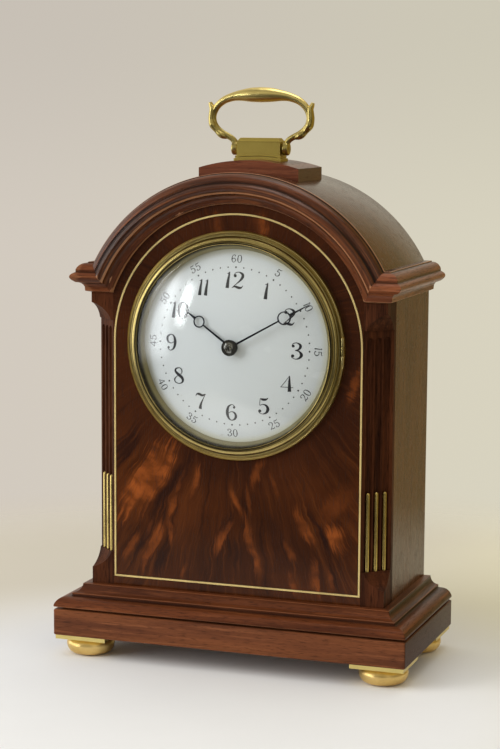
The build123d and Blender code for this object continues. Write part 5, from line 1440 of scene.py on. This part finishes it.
# Room
wall_left = (0.645, 0.59, 0.52)
wall_right = (0.685, 0.648, 0.522)
wall_top = (0.3, 0.28, 0.25)
room_front = (0.085, 0.08, 0.07)
room_upper = (0.52, 0.49, 0.4)
room_left = (2.0, 1.98, 1.9)
room_overhead = (2.0, 1.95, 1.8)
room_right = (0.34, 0.25, 0.075)
window_light = (12.0, 12.2, 12.4)
curtain_light = (3.0, 3.1, 3.2)
side_window_light = (1.0, 0.97, 0.88)
soft_left = (0.54, 0.56, 0.605)
soft_right = (0.66, 0.6, 0.46)

# Directions in the room, in radians towards the viewer's left from straight in front of the dial
window_turn = 0.722
curtain_turn = 0.9
side_window_turn = -0.72


def table_top():
    """A round pale table top under the clock."""
    rows = []
    for radius in (0.1, 120, 240, 360, 480):
        rows.append([(radius * math.cos(turn), radius * math.sin(turn), 0.0) for turn in turns(96)])
    table = Shape().sheet(rows, wrap_columns=True).build("table_top", pale_table())


def room_light():
    """A pale wall for the camera, a darker room for polished surfaces to mirror, and soft lamps."""
    world = bpy.data.worlds.new("room")
    bpy.context.scene.world = world
    finish = Finish("room", world)
    x, y, z = finish.split(finish.node("TexCoord", give="Generated"))
    wall = finish.mix(finish.fade(x, -0.46, -0.2), wall_left, wall_right)
    mirrored = finish.mix(finish.fade(x, -0.15, 0.3), wall, room_right)
    ahead = finish.mix(finish.fade(z, 0.04, 0.4) * finish.fade(z, 0.95, 0.65), room_front, room_upper)
    mirrored = finish.mix(finish.fade(y, -0.3, 0.35), ahead, mirrored)
    mirrored = finish.mix(finish.fade(z, 0.93, 0.98), mirrored, room_overhead)
    turn = x.math("ARCTAN2", 0 - x, 0 - y)
    tall = finish.fade(z, -0.3, -0.1) * finish.fade(z, 0.6, 0.4)
    left_wall = finish.fade(turn, 0.93, 1.05) * finish.fade(turn, 1.95, 1.72) * tall
    mirrored = finish.mix(left_wall, mirrored, room_left)
    side_window = finish.fade(abs(turn - side_window_turn), 0.14, 0.06) * tall
    mirrored = finish.mix(side_window, mirrored, side_window_light)
    curtain_height = finish.fade(z, -0.24, -0.12) * finish.fade(z, 0.34, 0.22)
    curtain = finish.fade(abs(turn - curtain_turn + 0.2 * z), 0.16, 0.06) * curtain_height
    mirrored = finish.mix(curtain, mirrored, curtain_light)
    window_height = finish.fade(z, -0.03, 0.06) * finish.fade(z, 0.31, 0.22)
    window = finish.fade(abs(turn - window_turn + 0.227 * z), 0.04, 0.014) * window_height
    mirrored = finish.mix(window, mirrored, window_light)
    wall = finish.mix(finish.fade(z, -0.08, 0.045) * 0.2, wall, wall_top)
    seen = finish.node("LightPath", give="Is Camera Ray")
    spread = finish.node("LightPath", give="Is Diffuse Ray")
    soft = finish.mix(finish.fade(x, -0.3, 0.6), soft_left, soft_right)
    colour = finish.mix(spread, mirrored, soft)
    colour = finish.mix(seen, colour, wall)
    background = finish.node("Background", None, {"Color": colour, "Strength": 1.0})
    finish.node("OutputWorld", None, {"Surface": background})
    middle = (0, 0, 0.14)
    lamp("skylight", (-0.56, -0.72, 1.5), middle, 1.2, 6.5, (0.97, 0.99, 1.0)).visible_glossy = False
    lamp("ceiling", (0.2, 0.3, 1.4), middle, 0.8, 3.0, (1.0, 0.985, 0.96))
    lamp("window", (-1.12, -0.94, 0.62), middle, 0.75, 12.5, (0.98, 0.99, 1.0)).visible_glossy = False


def lamp(name, spot, target, size, power, colour):
    """A soft square lamp at a spot, turned to a target, in metres and watts."""
    light = bpy.data.lights.new(name, "AREA")
    light.size = size
    light.energy = power
    light.color = colour
    made = put_in_scene(name, light)
    made.location = spot
    made.rotation_euler = (Vector(target) - Vector(spot)).to_track_quat("-Z", "Y").to_euler()
    return made


def place_camera():
    """The photograph's viewpoint, a little to the right and above."""
    azimuth = math.radians(19.496)
    elevation = math.radians(7.615)
    roll = math.radians(0.365)
    aside = 7.154
    above = 101.32
    away = 927.514
    front_foot = Vector((0, front_y, case_z))
    level = Vector((math.cos(azimuth), math.sin(azimuth), 0))
    ahead = Vector((math.sin(azimuth), -math.cos(azimuth), 0))
    back = math.cos(elevation) * ahead + math.sin(elevation) * Vector((0, 0, 1))
    upright = back.cross(level)
    right = math.cos(roll) * level + math.sin(roll) * upright
    up = math.cos(roll) * upright - math.sin(roll) * level
    eye = front_foot + aside * right + above * up + away * back
    camera = bpy.data.cameras.new("photo_view")
    camera.lens = 97.06
    camera.sensor_width = 36.0
    made = put_in_scene("photo_view", camera)
    made.matrix_world = Matrix.Translation(eye * MM) @ Matrix((right, up, back)).transposed().to_4x4()
    bpy.context.scene.camera = made


bpy.context.scene.view_settings.view_transform = "Standard"
kept_pieces()
arch_moulding()
# The two cornice returns are one wood: the darker base finish on the left is painted shade, and the lighter,
# more worn level finish on the right is partly wear and partly painted highlight.
cornice_return(-1, "cornice_left", base_mahogany)
cornice_return(1, "cornice_right", mahogany_level)
base_boards()
arch_cover()
bun_feet()
string_inlay()
flute_rods()
handle_stand()
bezel_ring()
bezel_door()
bezel_glass()
dial_plate()
dial_figures()
dial_hands()
carrying_handle()
table_top()
room_light()
place_camera()
